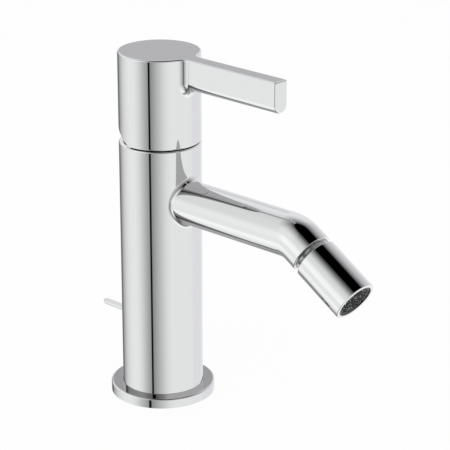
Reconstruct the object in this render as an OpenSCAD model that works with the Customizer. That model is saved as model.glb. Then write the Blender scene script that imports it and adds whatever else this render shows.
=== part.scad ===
// Single-lever bidet mixer: a plain round column, a straight lever flush with the
// top, a level spout with a bent end, a swivelling ball-jointed nozzle and a
// lift rod for the waste. The origin is on the column's axis in the deck plane,
// +Z is up, and the lever and the spout point along +X.

/* [Column] */
// Outer diameter of the column and of the handle's cap
column_d = 42; // [41:0.5:46]
// Height of the column's rim above the deck
column_h = 137.1; // [132:0.5:160]
// Wall around the lower cavity
column_wall = 3.8; // [3:0.1:4.2]
// Height of the solid valve block's underside above the deck
block_z = 88; // [78:0.5:92]
// Depth of the cartridge chamber below the rim
chamber_depth = 22.6; // [22.6:0.1:23.4]

/* [Base] */
// Diameter of the base ring
base_d = 54.3; // [51:0.1:62]
// Thickness of the base ring
base_h = 5.15; // [4:0.05:8]
// Width of the gasket under the base ring
gasket_w = 2.8; // [2:0.1:3.2]
// Height of the brass foot that holds the hoses and the stud
foot_h = 12.5; // [11.5:0.5:15]
// Diameter of the bore for an M8 fixing stud
stud_bore_d = 6.8; // [6:0.1:7.2]
// Diameter of the bore for an M10x1 hose end
hose_bore_d = 9; // [8.6:0.1:9.4]

/* [Water ways] */
// Distance of the inlets in front of the axis
inlet_x = 3.5; // [3:0.1:4.2]
// Distance of each inlet to the side
inlet_y = 9; // [8.6:0.1:9.4]
// Outer diameter of an inlet tube
tube_d = 8; // [7:0.1:8.2]
// Wall of an inlet tube
tube_wall = 0.8; // [0.6:0.1:1.2]
// Bore of each inlet through the valve block
inlet_bore_d = 6.4; // [5.4:0.1:6.6]
// Distance of the mixed water port behind the axis
outlet_x = 8; // [7.4:0.1:8.2]
// Bore of the mixed water port
outlet_bore_d = 8; // [6.6:0.1:8.4]

/* [Cartridge] */
// Diameter of the cartridge
cartridge_d = 35; // [34.6:0.1:35.2]
// Diameter of the cartridge's neck
neck_d = 26.6; // [26:0.1:27]
// Height of the lever pivot above the rim
pivot_rise = 8.9; // [8.4:0.1:9.6]
// Length of the stem from the pivot down to the centre of its ball tip
stem_arm = 10; // [9.6:0.1:10.4]
// Width of the square stem
stem_w = 8; // [7:0.1:8.4]
// Travel of the moving disc when the lever is fully up
disc_travel = 4.28; // [4.28:0.01:4.3]

/* [Handle] */
// Height of the cap
cap_h = 46.3; // [43:0.1:52]
// Gap between the cap and the column
cap_gap = 0.5; // [0.4:0.05:0.7]
// Wall of the cap
cap_wall = 2.5; // [2:0.1:2.9]
// Reach of the lever's end from the axis
lever_reach = 81.5; // [60:0.5:100]
// Width of the lever
lever_w = 8.6; // [7:0.1:11]
// Depth of the lever, whose underside is a half round
lever_depth = 16; // [13:0.1:19]
// Radius of the fillet where the lever meets the cap
lever_fillet = 5; // [3:0.1:6]
// Slope of the relief at the back of the cap, in degrees
relief_angle = 29; // [28:0.5:34]

/* [Spout] */
// Outer diameter of the spout
spout_d = 22.2; // [21.6:0.1:24]
// Wall of the spout
spout_wall = 2.6; // [2.2:0.1:3.2]
// Height of the spout's axis above the deck
spout_z = 108.6; // [107:0.1:109]
// Reach of the spout to its bend, from the column's axis
spout_reach = 92.2; // [75:0.1:120]
// Slope of the outlet below the level, in degrees
outlet_drop = 31.7; // [20:0.1:40]
// Radius of the bend, at the middle of the spout
bend_r = 17; // [15:0.5:19]
// Length of the spout past the bend point
spout_end = 11.5; // [11.2:0.1:14]
// Radius of the fillet where the spout meets the column
spout_fillet = 2.8; // [1.5:0.1:4]

/* [Nozzle] */
// Outer diameter of the nozzle
nozzle_d = 22.5; // [21.8:0.1:23]
// Length of the nozzle
nozzle_l = 29.5; // [27:0.5:36]
// Gap between the spout's end and the nozzle
nozzle_gap = 3; // [3:0.1:4]
// Diameter of the joint's ball
ball_d = 17.2; // [16.8:0.1:17.3]
// Diameter of the ball's neck
ball_neck_d = 11; // [10:0.1:11.4]
// Bore through the ball
ball_bore_d = 7.2; // [6:0.1:8]
// Wall of the nozzle around its insert
nozzle_wall = 1.8; // [1.4:0.1:2]
// Width of an opening in the outlet grille
grille_cell = 1.1; // [0.9:0.05:1.4]
// Width of a rib in the outlet grille
grille_rib = 0.45; // [0.35:0.05:0.6]

/* [Waste lift rod] */
// Diameter of the knob rod behind the column
knob_rod_d = 3.2; // [2.8:0.1:4]
// Height of the knob rod above the deck at rest
knob_rod_z = 36.9; // [35:0.1:42]
// Reach of the knob rod behind the axis
knob_rod_reach = 44; // [36:0.5:60]
// Travel of the lift rod
lift_travel = 18; // [10:0.5:20]
// Diameter of the pull rod
pull_rod_d = 5; // [4.4:0.1:5.4]
// Distance of the pull rod behind the axis
pull_rod_x = 12.5; // [12.2:0.1:12.6]

/* [Fits] */
// Radial clearance of a running fit
run_fit = 0.06; // [0.02:0.01:0.09]
// Radial clearance of a screwed or pushed seat
seat_fit = 0.05; // [0.03:0.01:0.08]
// Clearance between faces that pass each other
pass_gap = 0.2; // [0.15:0.05:0.3]

/* [Hidden] */
$fn = 96;
// Overrun of every cut past the face that it leaves
cut = 1;

// Colours
chrome = [0.78, 0.79, 0.80];
brass = [0.80, 0.66, 0.36];
copper = [0.80, 0.50, 0.36];
black = [0.08, 0.08, 0.09];
ceramic = [0.92, 0.91, 0.88];
grey_plastic = [0.62, 0.63, 0.65];
white_plastic = [0.90, 0.90, 0.88];

// Column
column_r = column_d / 2;
cavity_r = column_r - column_wall;
foot_ledge = 0.7;
foot_r = cavity_r + foot_ledge;
spigot_wall = 1.7;
spigot_r = foot_r + spigot_wall;
spigot_recess = 0.3;
floor_z = column_h - chamber_depth;
chamber_r = cartridge_d / 2 + seat_fit;
nut_wall_share = 0.331;
nut_r = column_r - nut_wall_share * (column_r - neck_d / 2);

// Base
base_edge = 0.3;
gasket_h = 1.8;
gasket_inset = 2.2;
gasket_r = base_d / 2 - gasket_inset;
hose_depth = 8.5;
stud_depth = 10;
tube_seat = 3;

// Inlet tubes and their seals
tube_r = tube_d / 2;
tube_socket = 6;
tube_seal_r = 0.6;
tube_seal_inset = 1.5;
tube_groove_r = tube_r + 2 * (tube_seal_r + seat_fit);
tube_groove_h = 2 * (tube_seal_r + seat_fit);
tube_z = foot_h - tube_seat;
tube_top = block_z + tube_socket;

// Cartridge, from the chamber's floor up
seal_squeeze = 0.3;
base_plate_h = 3.7;
port_seal_w = 1.3;
port_seal_h = 1.5;
disc_h = 3.5;
disc_side_gap = 0.15;
carrier_side_gap = 0.51;
carrier_lip = 0.7;
carrier_h = 3;
housing_wall = 3.15;
housing_top = 1.7;
neck_wall = 2.3;
rotor_flange_h = 1.5;
rotor_flange_inset = 0.6;
base_plate_z = floor_z + seal_squeeze;
fixed_disc_z = base_plate_z + base_plate_h;
moving_disc_z = fixed_disc_z + disc_h;
carrier_z = moving_disc_z + disc_h;
rotor_z = carrier_z + carrier_h + pass_gap;
ceiling_z = rotor_z + rotor_flange_h + pass_gap;
shoulder_z = ceiling_z + housing_top;
housing_r = cartridge_d / 2;
housing_in_r = housing_r - housing_wall;
neck_r = neck_d / 2;
neck_in_r = neck_r - neck_wall;
pivot_z = column_h + pivot_rise;
neck_rise = 3.4;
neck_z = pivot_z + neck_rise;
rotor_drop = 0.9;
rotor_top = neck_z - rotor_drop;
pin_r = 2;
pin_end_gap = 0.5;
tip_r = 2.5;
tip_z = pivot_z - stem_arm;
socket_r = tip_r + pass_gap;
socket_wall = 1.8;
socket_deep = 3;
slide_w = 2 * (socket_r + socket_wall);
slide_top = tip_z + tip_r / 2;
slot_w = max(slide_w, stem_w) + 2 * pass_gap;
disc_rest = disc_travel / 2;
disc_r = housing_in_r - disc_side_gap;
carrier_r = housing_in_r - disc_rest - carrier_side_gap;
moving_disc_r = carrier_r - carrier_lip;
recess_r = 6;
recess_rim = 1.94;
recess_reach = moving_disc_r + disc_rest - recess_rim;
recess_half_angle = 40;
recess_depth = 1.6;
stem_boss_r = 4.4;
stem_shank_r = 1.9;
slot_half = slide_w / 2 + disc_travel + 2 * pass_gap;
nut_top_gap = 0.4;
nut_top = column_h - nut_top_gap;
nut_slots = 3;
nut_slot_w = 4;
nut_slot_h = 1.6;

// Handle
cap_r = column_r;
cap_z = column_h + cap_gap;
cap_top = cap_z + cap_h;
cap_in_r = cap_r - cap_wall;
cover_share = 0.558;
cover_r = neck_r + cover_share * (cap_in_r - neck_r);
cover_rise = 3.8;
cover_wall = 1;
cover_land = 1.2;
cap_roof = 5.9;
boss_r = 8.2;
boss_rise = 10;
boss_z = pivot_z + boss_rise;
stem_top_gap = 2;
stem_top = cap_top - cap_roof - stem_top_gap;
socket_top_gap = 0.5;
relief_x = 1.8;
lever_round = lever_w / 2;
lever_round_z = cap_top - lever_depth + lever_round;
screw_z = (boss_z + stem_top) / 2;
screw_r = 2.5;
screw_l = 4;
screw_key = 2.6;
screw_key_depth = 2;
cover_plug_r = 3;

// Rolling-ball fillets, sunk a little into what they join
fillet_sink = 0.06;
fillet_back = 1.1;
fillet_steps = 6;
fillet_rows = 40;

// Spout
spout_r = spout_d / 2;
spout_in_r = spout_r - spout_wall;
tangent = bend_r * tan(outlet_drop / 2);
bend_lap = 0.4;
bend_step = 0.02;
passage_r = 4.2;
spout_wall_gap = 0.6;
spout_start = nut_r + spout_wall_gap;
socket_start = 2.8;
ball_pocket_wall = 1.55;
ball_pocket_r = spout_r - ball_pocket_wall;

// Ball joint, measured along the outlet from the bend point
ball_r = ball_d / 2;
ball_inset = 3.2;
ball_s = spout_end - ball_inset;
ball_gap = 0.1;
ball_seal_r = 0.9;
ball_seat_s = socket_start + 2 * ball_seal_r + seat_fit + seat_fit;
ball_seat_l = 1.9;
slip_gap = 0.15;
slip_s = ball_seat_s + ball_seat_l + slip_gap;
slip_l = 2.2;
ball_nut_s = slip_s + slip_l + slip_gap;
ball_back = 6.3;

// Nozzle, measured along the outlet from the bend point
nozzle_r = nozzle_d / 2;
nozzle_s = spout_end + nozzle_gap;
nozzle_end = nozzle_s + nozzle_l;
nozzle_rear = 3;
nozzle_edge = 0.35;
nozzle_in_r = nozzle_r - nozzle_wall;
shoulder_step = 1;
neck_relief = 0.6;
neck_relief_l = 0.5;
neck_seal_l = 0.8;
neck_seal_w = 2;
neck_nut_l = 2.4;
neck_nut_w = 2.6;
neck_over = 0.4;
neck_end = nozzle_s + nozzle_rear + neck_seal_l + neck_nut_l + neck_over;
aerator_l = 12.4;
aerator_recess = 0.7;
aerator_wall = 1.2;
aerator_seal_l = 1.4;
aerator_s = nozzle_end - aerator_recess - aerator_l;
flow_disc_l = 1.6;
flow_disc_inset = 1.2;
flow_hole_r = 0.7;
flow_hole_ring = 5;
flow_holes = 10;
grille_l = 1.4;

// Waste lift rod
knob_rod_r = knob_rod_d / 2;
pull_rod_r = pull_rod_d / 2;
rod_slot_gap = 0.4;
guide_r = 3.7;
guide_flange_r = 4.5;
guide_flange_h = 1.5;
guide_over = 10;
rod_bottom = 2;
rod_thread_r = 1.65;
rod_thread_l = 8;
block_l = 8;
block_w = 8;
block_below = 7;
block_above = 5;
rod_insert = 4.4;
block_screw_r = 2;
block_x = pull_rod_x - block_l / 2;

// Places that several pieces share
inlets = [[inlet_x, inlet_y], [inlet_x, -inlet_y]];
ports = [[inlet_x, inlet_y, inlet_bore_d / 2], [inlet_x, -inlet_y, inlet_bore_d / 2],
         [-outlet_x, 0, outlet_bore_d / 2]];

// Puts a shape that stands on +Z along the outlet, a distance past the bend point
module along_outlet(distance = 0) {
    translate([spout_reach, 0, spout_z])
        rotate([0, 90 + outlet_drop, 0])
            translate([0, 0, distance])
                children();
}

// Flat ring or tube standing on z = 0
module tube(outer, inner, height) {
    difference() {
        cylinder(r = outer, h = height);
        translate([0, 0, -cut])
            cylinder(r = inner, h = height + 2 * cut);
    }
}

// Round rubber ring in the plane z = 0
module seal_ring(middle, section) {
    rotate_extrude()
        translate([middle, 0])
            circle(r = section, $fn = 32);
}

// Run of the spout: level tube, bend and short straight end, all of one radius
module spout_run(radius, start, end) {
    translate([start, 0, spout_z])
        rotate([0, 90, 0])
            cylinder(r = radius, h = spout_reach - tangent - start);
    translate([spout_reach - tangent, 0, spout_z - bend_r])
        rotate([-90, 0, 0])
            rotate([0, 0, -90])
                rotate_extrude(angle = outlet_drop)
                    translate([bend_r, 0])
                        circle(r = radius);
    along_outlet(tangent - bend_lap)
        cylinder(r = radius - bend_step, h = end - tangent + bend_lap);
}

// One section of a rolling-ball fillet between an upright cylinder and a branch
// along X, at a point of the branch's outline with its outward normal: the arc
// from the cylinder to the branch, then three points inside the metal.
function fillet_section(upright, ball, point, normal) =
    let (centre_y = point[0] + ball * normal[0],
         centre_z = point[1] + ball * normal[1],
         centre_x = sqrt(pow(upright + ball, 2) - centre_y * centre_y),
         centre = [centre_x, centre_y, centre_z],
         to_upright = [-centre_x, -centre_y, 0] / (upright + ball),
         to_branch = [0, -normal[0], -normal[1]],
         sweep = acos(to_upright * to_branch))
    concat(
        [for (k = [0:fillet_steps])
            centre + ball * (sin(sweep * (1 - k / fillet_steps)) * to_upright
                + sin(sweep * k / fillet_steps) * to_branch) / sin(sweep)],
        [centre + (ball + fillet_back) * to_branch,
         [sqrt(pow(upright - fillet_back, 2) - pow(point[0] - fillet_back * normal[0], 2)),
          point[0] - fillet_back * normal[0], point[1] - fillet_back * normal[1]],
         centre + (ball + fillet_back) * to_upright]);

// Fillet solid around an outline of [point, normal] pairs, closed or open ended
module root_fillet(upright, ball, outline, closed) {
    rows = [for (pair = outline)
        fillet_section(upright - fillet_sink, ball, pair[0] - fillet_sink * pair[1], pair[1])];
    wide = len(rows[0]);
    count = len(rows);
    sides = [for (i = [0:closed ? count - 1 : count - 2]) for (j = [0:wide - 1])
        let (a = i * wide + j,
             b = i * wide + (j + 1) % wide,
             c = ((i + 1) % count) * wide + (j + 1) % wide,
             d = ((i + 1) % count) * wide + j)
        each [[a, c, b], [a, d, c]]];
    caps = closed ? [] : [
        [for (j = [0:wide - 1]) j],
        [for (j = [wide - 1:-1:0]) (count - 1) * wide + j]];
    polyhedron([for (row = rows) each row], concat(sides, caps));
}

// Outline of the round spout as [point, normal] pairs in Y and Z
spout_outline = [for (i = [0:fillet_rows - 1])
    let (a = -360 * i / fillet_rows, normal = [cos(a), sin(a)])
    [[spout_r * normal[0], spout_z + spout_r * normal[1]], normal]];

// Outline of the lever, down one side, round its underside and up the other
lever_outline = concat(
    [[[lever_round, cap_top + cut], [1, 0]]],
    [for (i = [0:fillet_rows / 4])
        let (a = -180 * i / (fillet_rows / 4), normal = [cos(a), sin(a)])
        [[lever_round * normal[0], lever_round_z + lever_round * normal[1]], normal]],
    [[[-lever_round, cap_top + cut], [-1, 0]]]);

// Brass column with its spout, valve block and cartridge chamber
module body() {
    color(chrome)
    difference() {
        union() {
            translate([0, 0, base_h])
                cylinder(r = column_r, h = column_h - base_h);
            translate([0, 0, spigot_recess])
                cylinder(r = spigot_r, h = base_h);
            spout_run(spout_r, 0, spout_end);
            root_fillet(column_r, spout_fillet, spout_outline, true);
        }
        // Cavity with the foot's socket below it
        translate([0, 0, foot_h - cut])
            cylinder(r = cavity_r, h = block_z - foot_h + cut);
        translate([0, 0, -cut])
            cylinder(r = foot_r + seat_fit, h = foot_h + cut);
        // Cartridge chamber and the nut's thread
        translate([0, 0, floor_z])
            cylinder(r = chamber_r, h = chamber_depth + cut);
        translate([0, 0, shoulder_z - cut])
            cylinder(r = nut_r, h = column_h - shoulder_z + 2 * cut);
        // Inlet ways with the sockets of the tubes and of their seals
        for (place = inlets)
            translate([place[0], place[1], block_z]) {
                translate([0, 0, -cut])
                    cylinder(r = inlet_bore_d / 2, h = floor_z - block_z + 2 * cut);
                translate([0, 0, -cut])
                    cylinder(r = tube_r + seat_fit, h = tube_socket + cut);
                translate([0, 0, tube_socket - tube_seal_inset - tube_groove_h / 2])
                    cylinder(r = tube_groove_r, h = tube_groove_h);
            }
        // Mixed water way from the port to the spout
        translate([-outlet_x, 0, spout_z])
            cylinder(r = outlet_bore_d / 2, h = floor_z - spout_z + cut);
        translate([-outlet_x, 0, spout_z])
            rotate([0, 90, 0])
                cylinder(r = passage_r, h = outlet_x + spout_start + cut);
        spout_run(spout_in_r, spout_start, spout_end + cut);
        // Pocket of the ball joint
        along_outlet(socket_start)
            cylinder(r = ball_pocket_r, h = spout_end - socket_start + cut);
        // Slot of the knob rod
        for (rise = [0, lift_travel])
            translate([-column_r - cut, 0, knob_rod_z + rise])
                rotate([0, 90, 0])
                    cylinder(r = knob_rod_r + rod_slot_gap, h = column_wall + 2 * cut);
        translate([-column_r - cut, -knob_rod_r - rod_slot_gap, knob_rod_z])
            cube([column_wall + 2 * cut, 2 * (knob_rod_r + rod_slot_gap), lift_travel]);
    }
}

// Flat ring that the column stands on
module base_ring() {
    color(chrome)
    difference() {
        union() {
            cylinder(r = base_d / 2, h = base_h - base_edge);
            translate([0, 0, base_h - base_edge])
                cylinder(r1 = base_d / 2, r2 = base_d / 2 - base_edge, h = base_edge);
        }
        translate([0, 0, -cut])
            cylinder(r = spigot_r + seat_fit, h = base_h + 2 * cut);
        translate([0, 0, -cut])
            tube(gasket_r + seat_fit, gasket_r - gasket_w - seat_fit, gasket_h + cut);
    }
}

module base_gasket() {
    color(black)
    tube(gasket_r, gasket_r - gasket_w, gasket_h);
}

// Brass foot with the hose threads, the stud thread and the guide's hole
module foot() {
    color(brass)
    difference() {
        cylinder(r = foot_r, h = foot_h);
        translate([0, 0, -cut])
            cylinder(r = stud_bore_d / 2, h = stud_depth + cut);
        for (place = inlets)
            translate([place[0], place[1], 0]) {
                translate([0, 0, -cut])
                    cylinder(r = hose_bore_d / 2, h = hose_depth + cut);
                translate([0, 0, -cut])
                    cylinder(r = tube_r - tube_wall, h = foot_h + 2 * cut);
                translate([0, 0, tube_z])
                    cylinder(r = tube_r + seat_fit, h = tube_seat + cut);
                translate([0, 0, foot_h - tube_seal_inset - tube_groove_h / 2])
                    cylinder(r = tube_groove_r, h = tube_groove_h);
            }
        translate([-pull_rod_x, 0, -cut])
            cylinder(r = guide_r + seat_fit, h = foot_h + 2 * cut);
    }
}

module inlet_tube(side) {
    color(copper)
    translate([inlet_x, side * inlet_y, tube_z])
        tube(tube_r, tube_r - tube_wall, tube_top - tube_z);
}

module hot_inlet_tube() {
    inlet_tube(-1);
}

module cold_inlet_tube() {
    inlet_tube(1);
}

module tube_seals() {
    color(black)
    for (place = inlets)
        for (level = [foot_h - tube_seal_inset, tube_top - tube_seal_inset])
            translate([place[0], place[1], level])
                seal_ring(tube_r + tube_seal_r + seat_fit, tube_seal_r);
}

// Plate under the discs with the three ports
module cartridge_base() {
    color(white_plastic)
    translate([0, 0, base_plate_z])
        difference() {
            cylinder(r = housing_r, h = base_plate_h);
            for (port = ports)
                translate([port[0], port[1], -cut]) {
                    cylinder(r = port[2], h = base_plate_h + 2 * cut);
                    cylinder(r = port[2] + port_seal_w + seat_fit, h = port_seal_h - seal_squeeze + cut);
                }
        }
}

module port_seals() {
    color(black)
    for (port = ports)
        translate([port[0], port[1], floor_z])
            tube(port[2] + port_seal_w, port[2], port_seal_h);
}

module fixed_disc() {
    color(ceramic)
    translate([0, 0, fixed_disc_z])
        difference() {
            cylinder(r = disc_r, h = disc_h);
            for (port = ports)
                translate([port[0], port[1], -cut])
                    cylinder(r = port[2], h = disc_h + 2 * cut);
        }
}

// Ceramic disc that slides and turns, with the mixing recess in its underside
module moving_disc() {
    color(ceramic)
    difference() {
        translate([-disc_rest, 0, moving_disc_z])
            cylinder(r = moving_disc_r, h = disc_h);
        translate([0, 0, moving_disc_z - cut])
            cylinder(r = recess_r, h = recess_depth + cut);
        translate([0, 0, moving_disc_z - cut])
            rotate([0, 0, 180 - recess_half_angle])
                rotate_extrude(angle = 2 * recess_half_angle)
                    square([recess_reach, recess_depth + cut]);
    }
}

// Carrier that grips the moving disc and takes the stem's ball tip
module disc_carrier() {
    color(grey_plastic)
    difference() {
        union() {
            translate([-disc_rest, 0, carrier_z])
                cylinder(r = carrier_r, h = carrier_h);
            translate([-slide_w / 2, -slide_w / 2, carrier_z])
                cube([slide_w, slide_w, slide_top - carrier_z]);
        }
        translate([0, 0, tip_z - socket_deep])
            cylinder(r = socket_r, h = socket_deep + tip_r + cut);
    }
}

// Plastic case over the discs, with the neck that guides the rotor
module cartridge_housing() {
    color(grey_plastic)
    difference() {
        union() {
            translate([0, 0, fixed_disc_z])
                cylinder(r = housing_r, h = shoulder_z - fixed_disc_z);
            translate([0, 0, shoulder_z - cut])
                cylinder(r = neck_r, h = neck_z - shoulder_z + cut);
        }
        translate([0, 0, fixed_disc_z - cut])
            cylinder(r = housing_in_r, h = ceiling_z - fixed_disc_z + cut);
        translate([0, 0, ceiling_z - cut])
            cylinder(r = neck_in_r, h = neck_z - ceiling_z + 2 * cut);
    }
}

// Turning core of the cartridge, slotted for the stem and the carrier's slide
module rotor() {
    color(white_plastic)
    difference() {
        union() {
            translate([0, 0, rotor_z])
                cylinder(r = housing_in_r - rotor_flange_inset, h = rotor_flange_h);
            translate([0, 0, rotor_z])
                cylinder(r = neck_in_r - run_fit, h = rotor_top - rotor_z);
        }
        translate([-slot_half, -slot_w / 2, rotor_z - cut])
            cube([2 * slot_half, slot_w, rotor_top - rotor_z + 2 * cut]);
        translate([0, neck_in_r, pivot_z])
            rotate([90, 0, 0])
                cylinder(r = pin_r + seat_fit, h = 2 * neck_in_r);
    }
}

module stem_pin() {
    color(grey_plastic)
    translate([0, neck_in_r - pin_end_gap, pivot_z])
        rotate([90, 0, 0])
            cylinder(r = pin_r, h = 2 * (neck_in_r - pin_end_gap));
}

// Lever stem: ball tip below, pivot boss, square shaft up into the handle
module stem() {
    color(brass)
    difference() {
        union() {
            translate([0, 0, tip_z])
                sphere(r = tip_r);
            translate([0, 0, tip_z])
                cylinder(r = stem_shank_r, h = stem_arm);
            translate([0, stem_w / 2, pivot_z])
                rotate([90, 0, 0])
                    cylinder(r = stem_boss_r, h = stem_w);
            translate([-stem_w / 2, -stem_w / 2, pivot_z])
                cube([stem_w, stem_w, stem_top - pivot_z]);
        }
        translate([0, stem_w / 2 + cut, pivot_z])
            rotate([90, 0, 0])
                cylinder(r = pin_r + run_fit, h = stem_w + 2 * cut);
    }
}

// Threaded ring that holds the cartridge down
module cartridge_nut() {
    color(brass)
    translate([0, 0, shoulder_z])
        difference() {
            tube(nut_r - seat_fit, neck_r + seat_fit, nut_top - shoulder_z);
            for (i = [0:nut_slots - 1])
                rotate([0, 0, 180 * i / nut_slots])
                    translate([-nut_r - cut, -nut_slot_w / 2, nut_top - shoulder_z - nut_slot_h])
                        cube([2 * (nut_r + cut), nut_slot_w, nut_slot_h + cut]);
        }
}

// Chromed dome over the nut
module nut_cover() {
    color(chrome)
    translate([0, 0, nut_top])
        rotate_extrude()
            polygon([
                [cover_r - cover_wall, 0],
                [cover_r, 0],
                [cover_r, cover_rise - cover_land],
                [cover_r - cover_land, cover_rise],
                [neck_r + seat_fit, cover_rise],
                [neck_r + seat_fit, cover_rise - cover_wall],
                [cover_r - cover_wall, cover_rise - cover_wall - cover_land / 2]]);
}

// Cap and lever in one casting, with the socket of the stem inside
module handle() {
    color(chrome)
    difference() {
        union() {
            translate([0, 0, cap_z])
                cylinder(r = cap_r, h = cap_h);
            translate([0, -lever_round, lever_round_z])
                cube([lever_reach, lever_w, cap_top - lever_round_z]);
            translate([0, 0, lever_round_z])
                rotate([0, 90, 0])
                    cylinder(r = lever_round, h = lever_reach);
            root_fillet(cap_r, lever_fillet, lever_outline, false);
        }
        translate([0, -cap_r - cut, cap_top])
            cube([lever_reach, 2 * (cap_r + cut), 2 * cut]);
        difference() {
            translate([0, 0, cap_z - cut])
                cylinder(r = cap_in_r, h = cap_h - cap_roof + cut);
            translate([0, 0, boss_z])
                cylinder(r = boss_r, h = cap_top - boss_z);
        }
        translate([-stem_w / 2 - seat_fit, -stem_w / 2 - seat_fit, boss_z - cut])
            cube([stem_w + 2 * seat_fit, stem_w + 2 * seat_fit,
                  stem_top + socket_top_gap - boss_z + cut]);
        // Relief at the back that clears the rim when the lever goes up
        rotate([90, 0, 0])
            translate([0, 0, -cap_r - cut])
                linear_extrude(height = 2 * (cap_r + cut))
                    polygon([
                        [-relief_x, cap_z - cut],
                        [-relief_x, cap_z],
                        [-cap_r - cut, cap_z + (cap_r + cut - relief_x) * tan(relief_angle)],
                        [-cap_r - cut, cap_z - cut]]);
        // Thread of the screw and its hole in the back
        translate([-boss_r - cut, 0, screw_z])
            rotate([0, 90, 0])
                cylinder(r = screw_r + seat_fit, h = boss_r + cut);
        translate([-cap_r - cut, 0, screw_z])
            rotate([0, 90, 0])
                cylinder(r = cover_plug_r + seat_fit, h = cap_wall + 2 * cut);
    }
}

module handle_screw() {
    color(grey_plastic)
    translate([-stem_w / 2, 0, screw_z])
        rotate([0, -90, 0])
            difference() {
                cylinder(r = screw_r, h = screw_l);
                translate([0, 0, screw_l - screw_key_depth])
                    cylinder(d = screw_key, h = screw_key_depth + cut, $fn = 6);
            }
}

// Push-in cover of the screw's hole, flush with the cap
module screw_cover() {
    color(chrome)
    intersection() {
        translate([-cap_r - cut, 0, screw_z])
            rotate([0, 90, 0])
                cylinder(r = cover_plug_r, h = cap_wall + cut);
        translate([0, 0, screw_z - 2 * cover_plug_r])
            tube(cap_r, cap_in_r, 4 * cover_plug_r);
    }
}

module ball_seal() {
    color(black)
    along_outlet(socket_start + ball_seal_r + seat_fit)
        seal_ring(ball_pocket_r - ball_seal_r - ball_gap, ball_seal_r);
}

// Ring around the ball between two planes, with a ball-shaped inside
module ball_ring(start, length, outer) {
    difference() {
        along_outlet(start)
            cylinder(r = outer, h = length);
        along_outlet(ball_s)
            sphere(r = ball_r + ball_gap);
    }
}

module ball_seat() {
    color(white_plastic)
    ball_ring(ball_seat_s, ball_seat_l, ball_pocket_r - seat_fit);
}

module slip_ring() {
    color(white_plastic)
    ball_ring(slip_s, slip_l, ball_pocket_r - run_fit);
}

module ball_nut() {
    color(chrome)
    ball_ring(ball_nut_s, spout_end - ball_nut_s, ball_pocket_r - seat_fit);
}

// Hollow ball with the neck that carries the nozzle
module swivel_ball() {
    color(chrome)
    along_outlet(ball_s)
        difference() {
            union() {
                intersection() {
                    sphere(r = ball_r);
                    translate([0, 0, -ball_back])
                        cylinder(r = ball_d, h = ball_back + ball_r);
                }
                cylinder(r = ball_neck_d / 2, h = neck_end - ball_s);
            }
            translate([0, 0, -ball_r])
                cylinder(d = ball_bore_d, h = neck_end - ball_s + ball_r + cut);
        }
}

module neck_seal() {
    color(black)
    along_outlet(nozzle_s + nozzle_rear)
        tube(ball_neck_d / 2 + neck_seal_w, ball_neck_d / 2 + seat_fit, neck_seal_l);
}

module neck_nut() {
    color(brass)
    along_outlet(nozzle_s + nozzle_rear + neck_seal_l)
        difference() {
            cylinder(r = ball_neck_d / 2 + neck_nut_w, h = neck_nut_l, $fn = 6);
            translate([0, 0, -cut])
                cylinder(r = ball_neck_d / 2 + seat_fit, h = neck_nut_l + 2 * cut);
        }
}

// Nozzle tube with its rear wall and the shoulder of the aerator
module nozzle_barrel() {
    color(chrome)
    along_outlet(nozzle_s)
        difference() {
            rotate_extrude()
                polygon([
                    [0, 0],
                    [nozzle_r - nozzle_edge, 0],
                    [nozzle_r, nozzle_edge],
                    [nozzle_r, nozzle_l - nozzle_edge],
                    [nozzle_r - nozzle_edge, nozzle_l],
                    [0, nozzle_l]]);
            translate([0, 0, -cut])
                cylinder(r = ball_neck_d / 2 + seat_fit, h = nozzle_l);
            translate([0, 0, -cut])
                cylinder(r = ball_neck_d / 2 + neck_relief, h = neck_relief_l + cut);
            translate([0, 0, nozzle_rear])
                cylinder(r = nozzle_in_r - shoulder_step, h = nozzle_l);
            translate([0, 0, aerator_s - aerator_seal_l - nozzle_s])
                cylinder(r = nozzle_in_r, h = nozzle_l);
        }
}

module aerator_seal() {
    color(black)
    along_outlet(aerator_s - aerator_seal_l)
        tube(nozzle_in_r - seat_fit, nozzle_in_r - aerator_wall - shoulder_step, aerator_seal_l);
}

module aerator_housing() {
    color(black)
    along_outlet(aerator_s)
        tube(nozzle_in_r - seat_fit, nozzle_in_r - aerator_wall, aerator_l);
}

// Disc with a ring of jets behind the grille
module flow_disc() {
    color(black)
    along_outlet(aerator_s + flow_disc_inset)
        difference() {
            cylinder(r = nozzle_in_r - aerator_wall - seat_fit, h = flow_disc_l);
            for (i = [0:flow_holes - 1])
                rotate([0, 0, 360 * i / flow_holes])
                    translate([flow_hole_ring, 0, -cut])
                        cylinder(r = flow_hole_r, h = flow_disc_l + 2 * cut, $fn = 24);
        }
}

// Square grille flush with the end of the aerator's case
module outlet_grille() {
    grille_r = nozzle_in_r - aerator_wall - seat_fit;
    pitch = grille_cell + grille_rib;
    half_count = floor((grille_r - grille_rib) / pitch);
    color(black)
    along_outlet(aerator_s + aerator_l - grille_l)
        linear_extrude(height = grille_l)
            difference() {
                circle(r = grille_r);
                for (i = [-half_count:half_count]) for (j = [-half_count:half_count])
                    if (norm([abs(i) * pitch + grille_cell / 2, abs(j) * pitch + grille_cell / 2])
                        < grille_r - grille_rib)
                        translate([i * pitch - grille_cell / 2, j * pitch - grille_cell / 2])
                            square(grille_cell);
            }
}

// Bush of the pull rod, flanged on the foot
module rod_guide() {
    color(white_plastic)
    translate([-pull_rod_x, 0, 0])
        difference() {
            union() {
                cylinder(r = guide_r, h = foot_h + guide_over);
                translate([0, 0, foot_h])
                    cylinder(r = guide_flange_r, h = guide_flange_h);
            }
            translate([0, 0, -cut])
                cylinder(r = pull_rod_r + run_fit, h = foot_h + guide_over + 2 * cut);
        }
}

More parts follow.
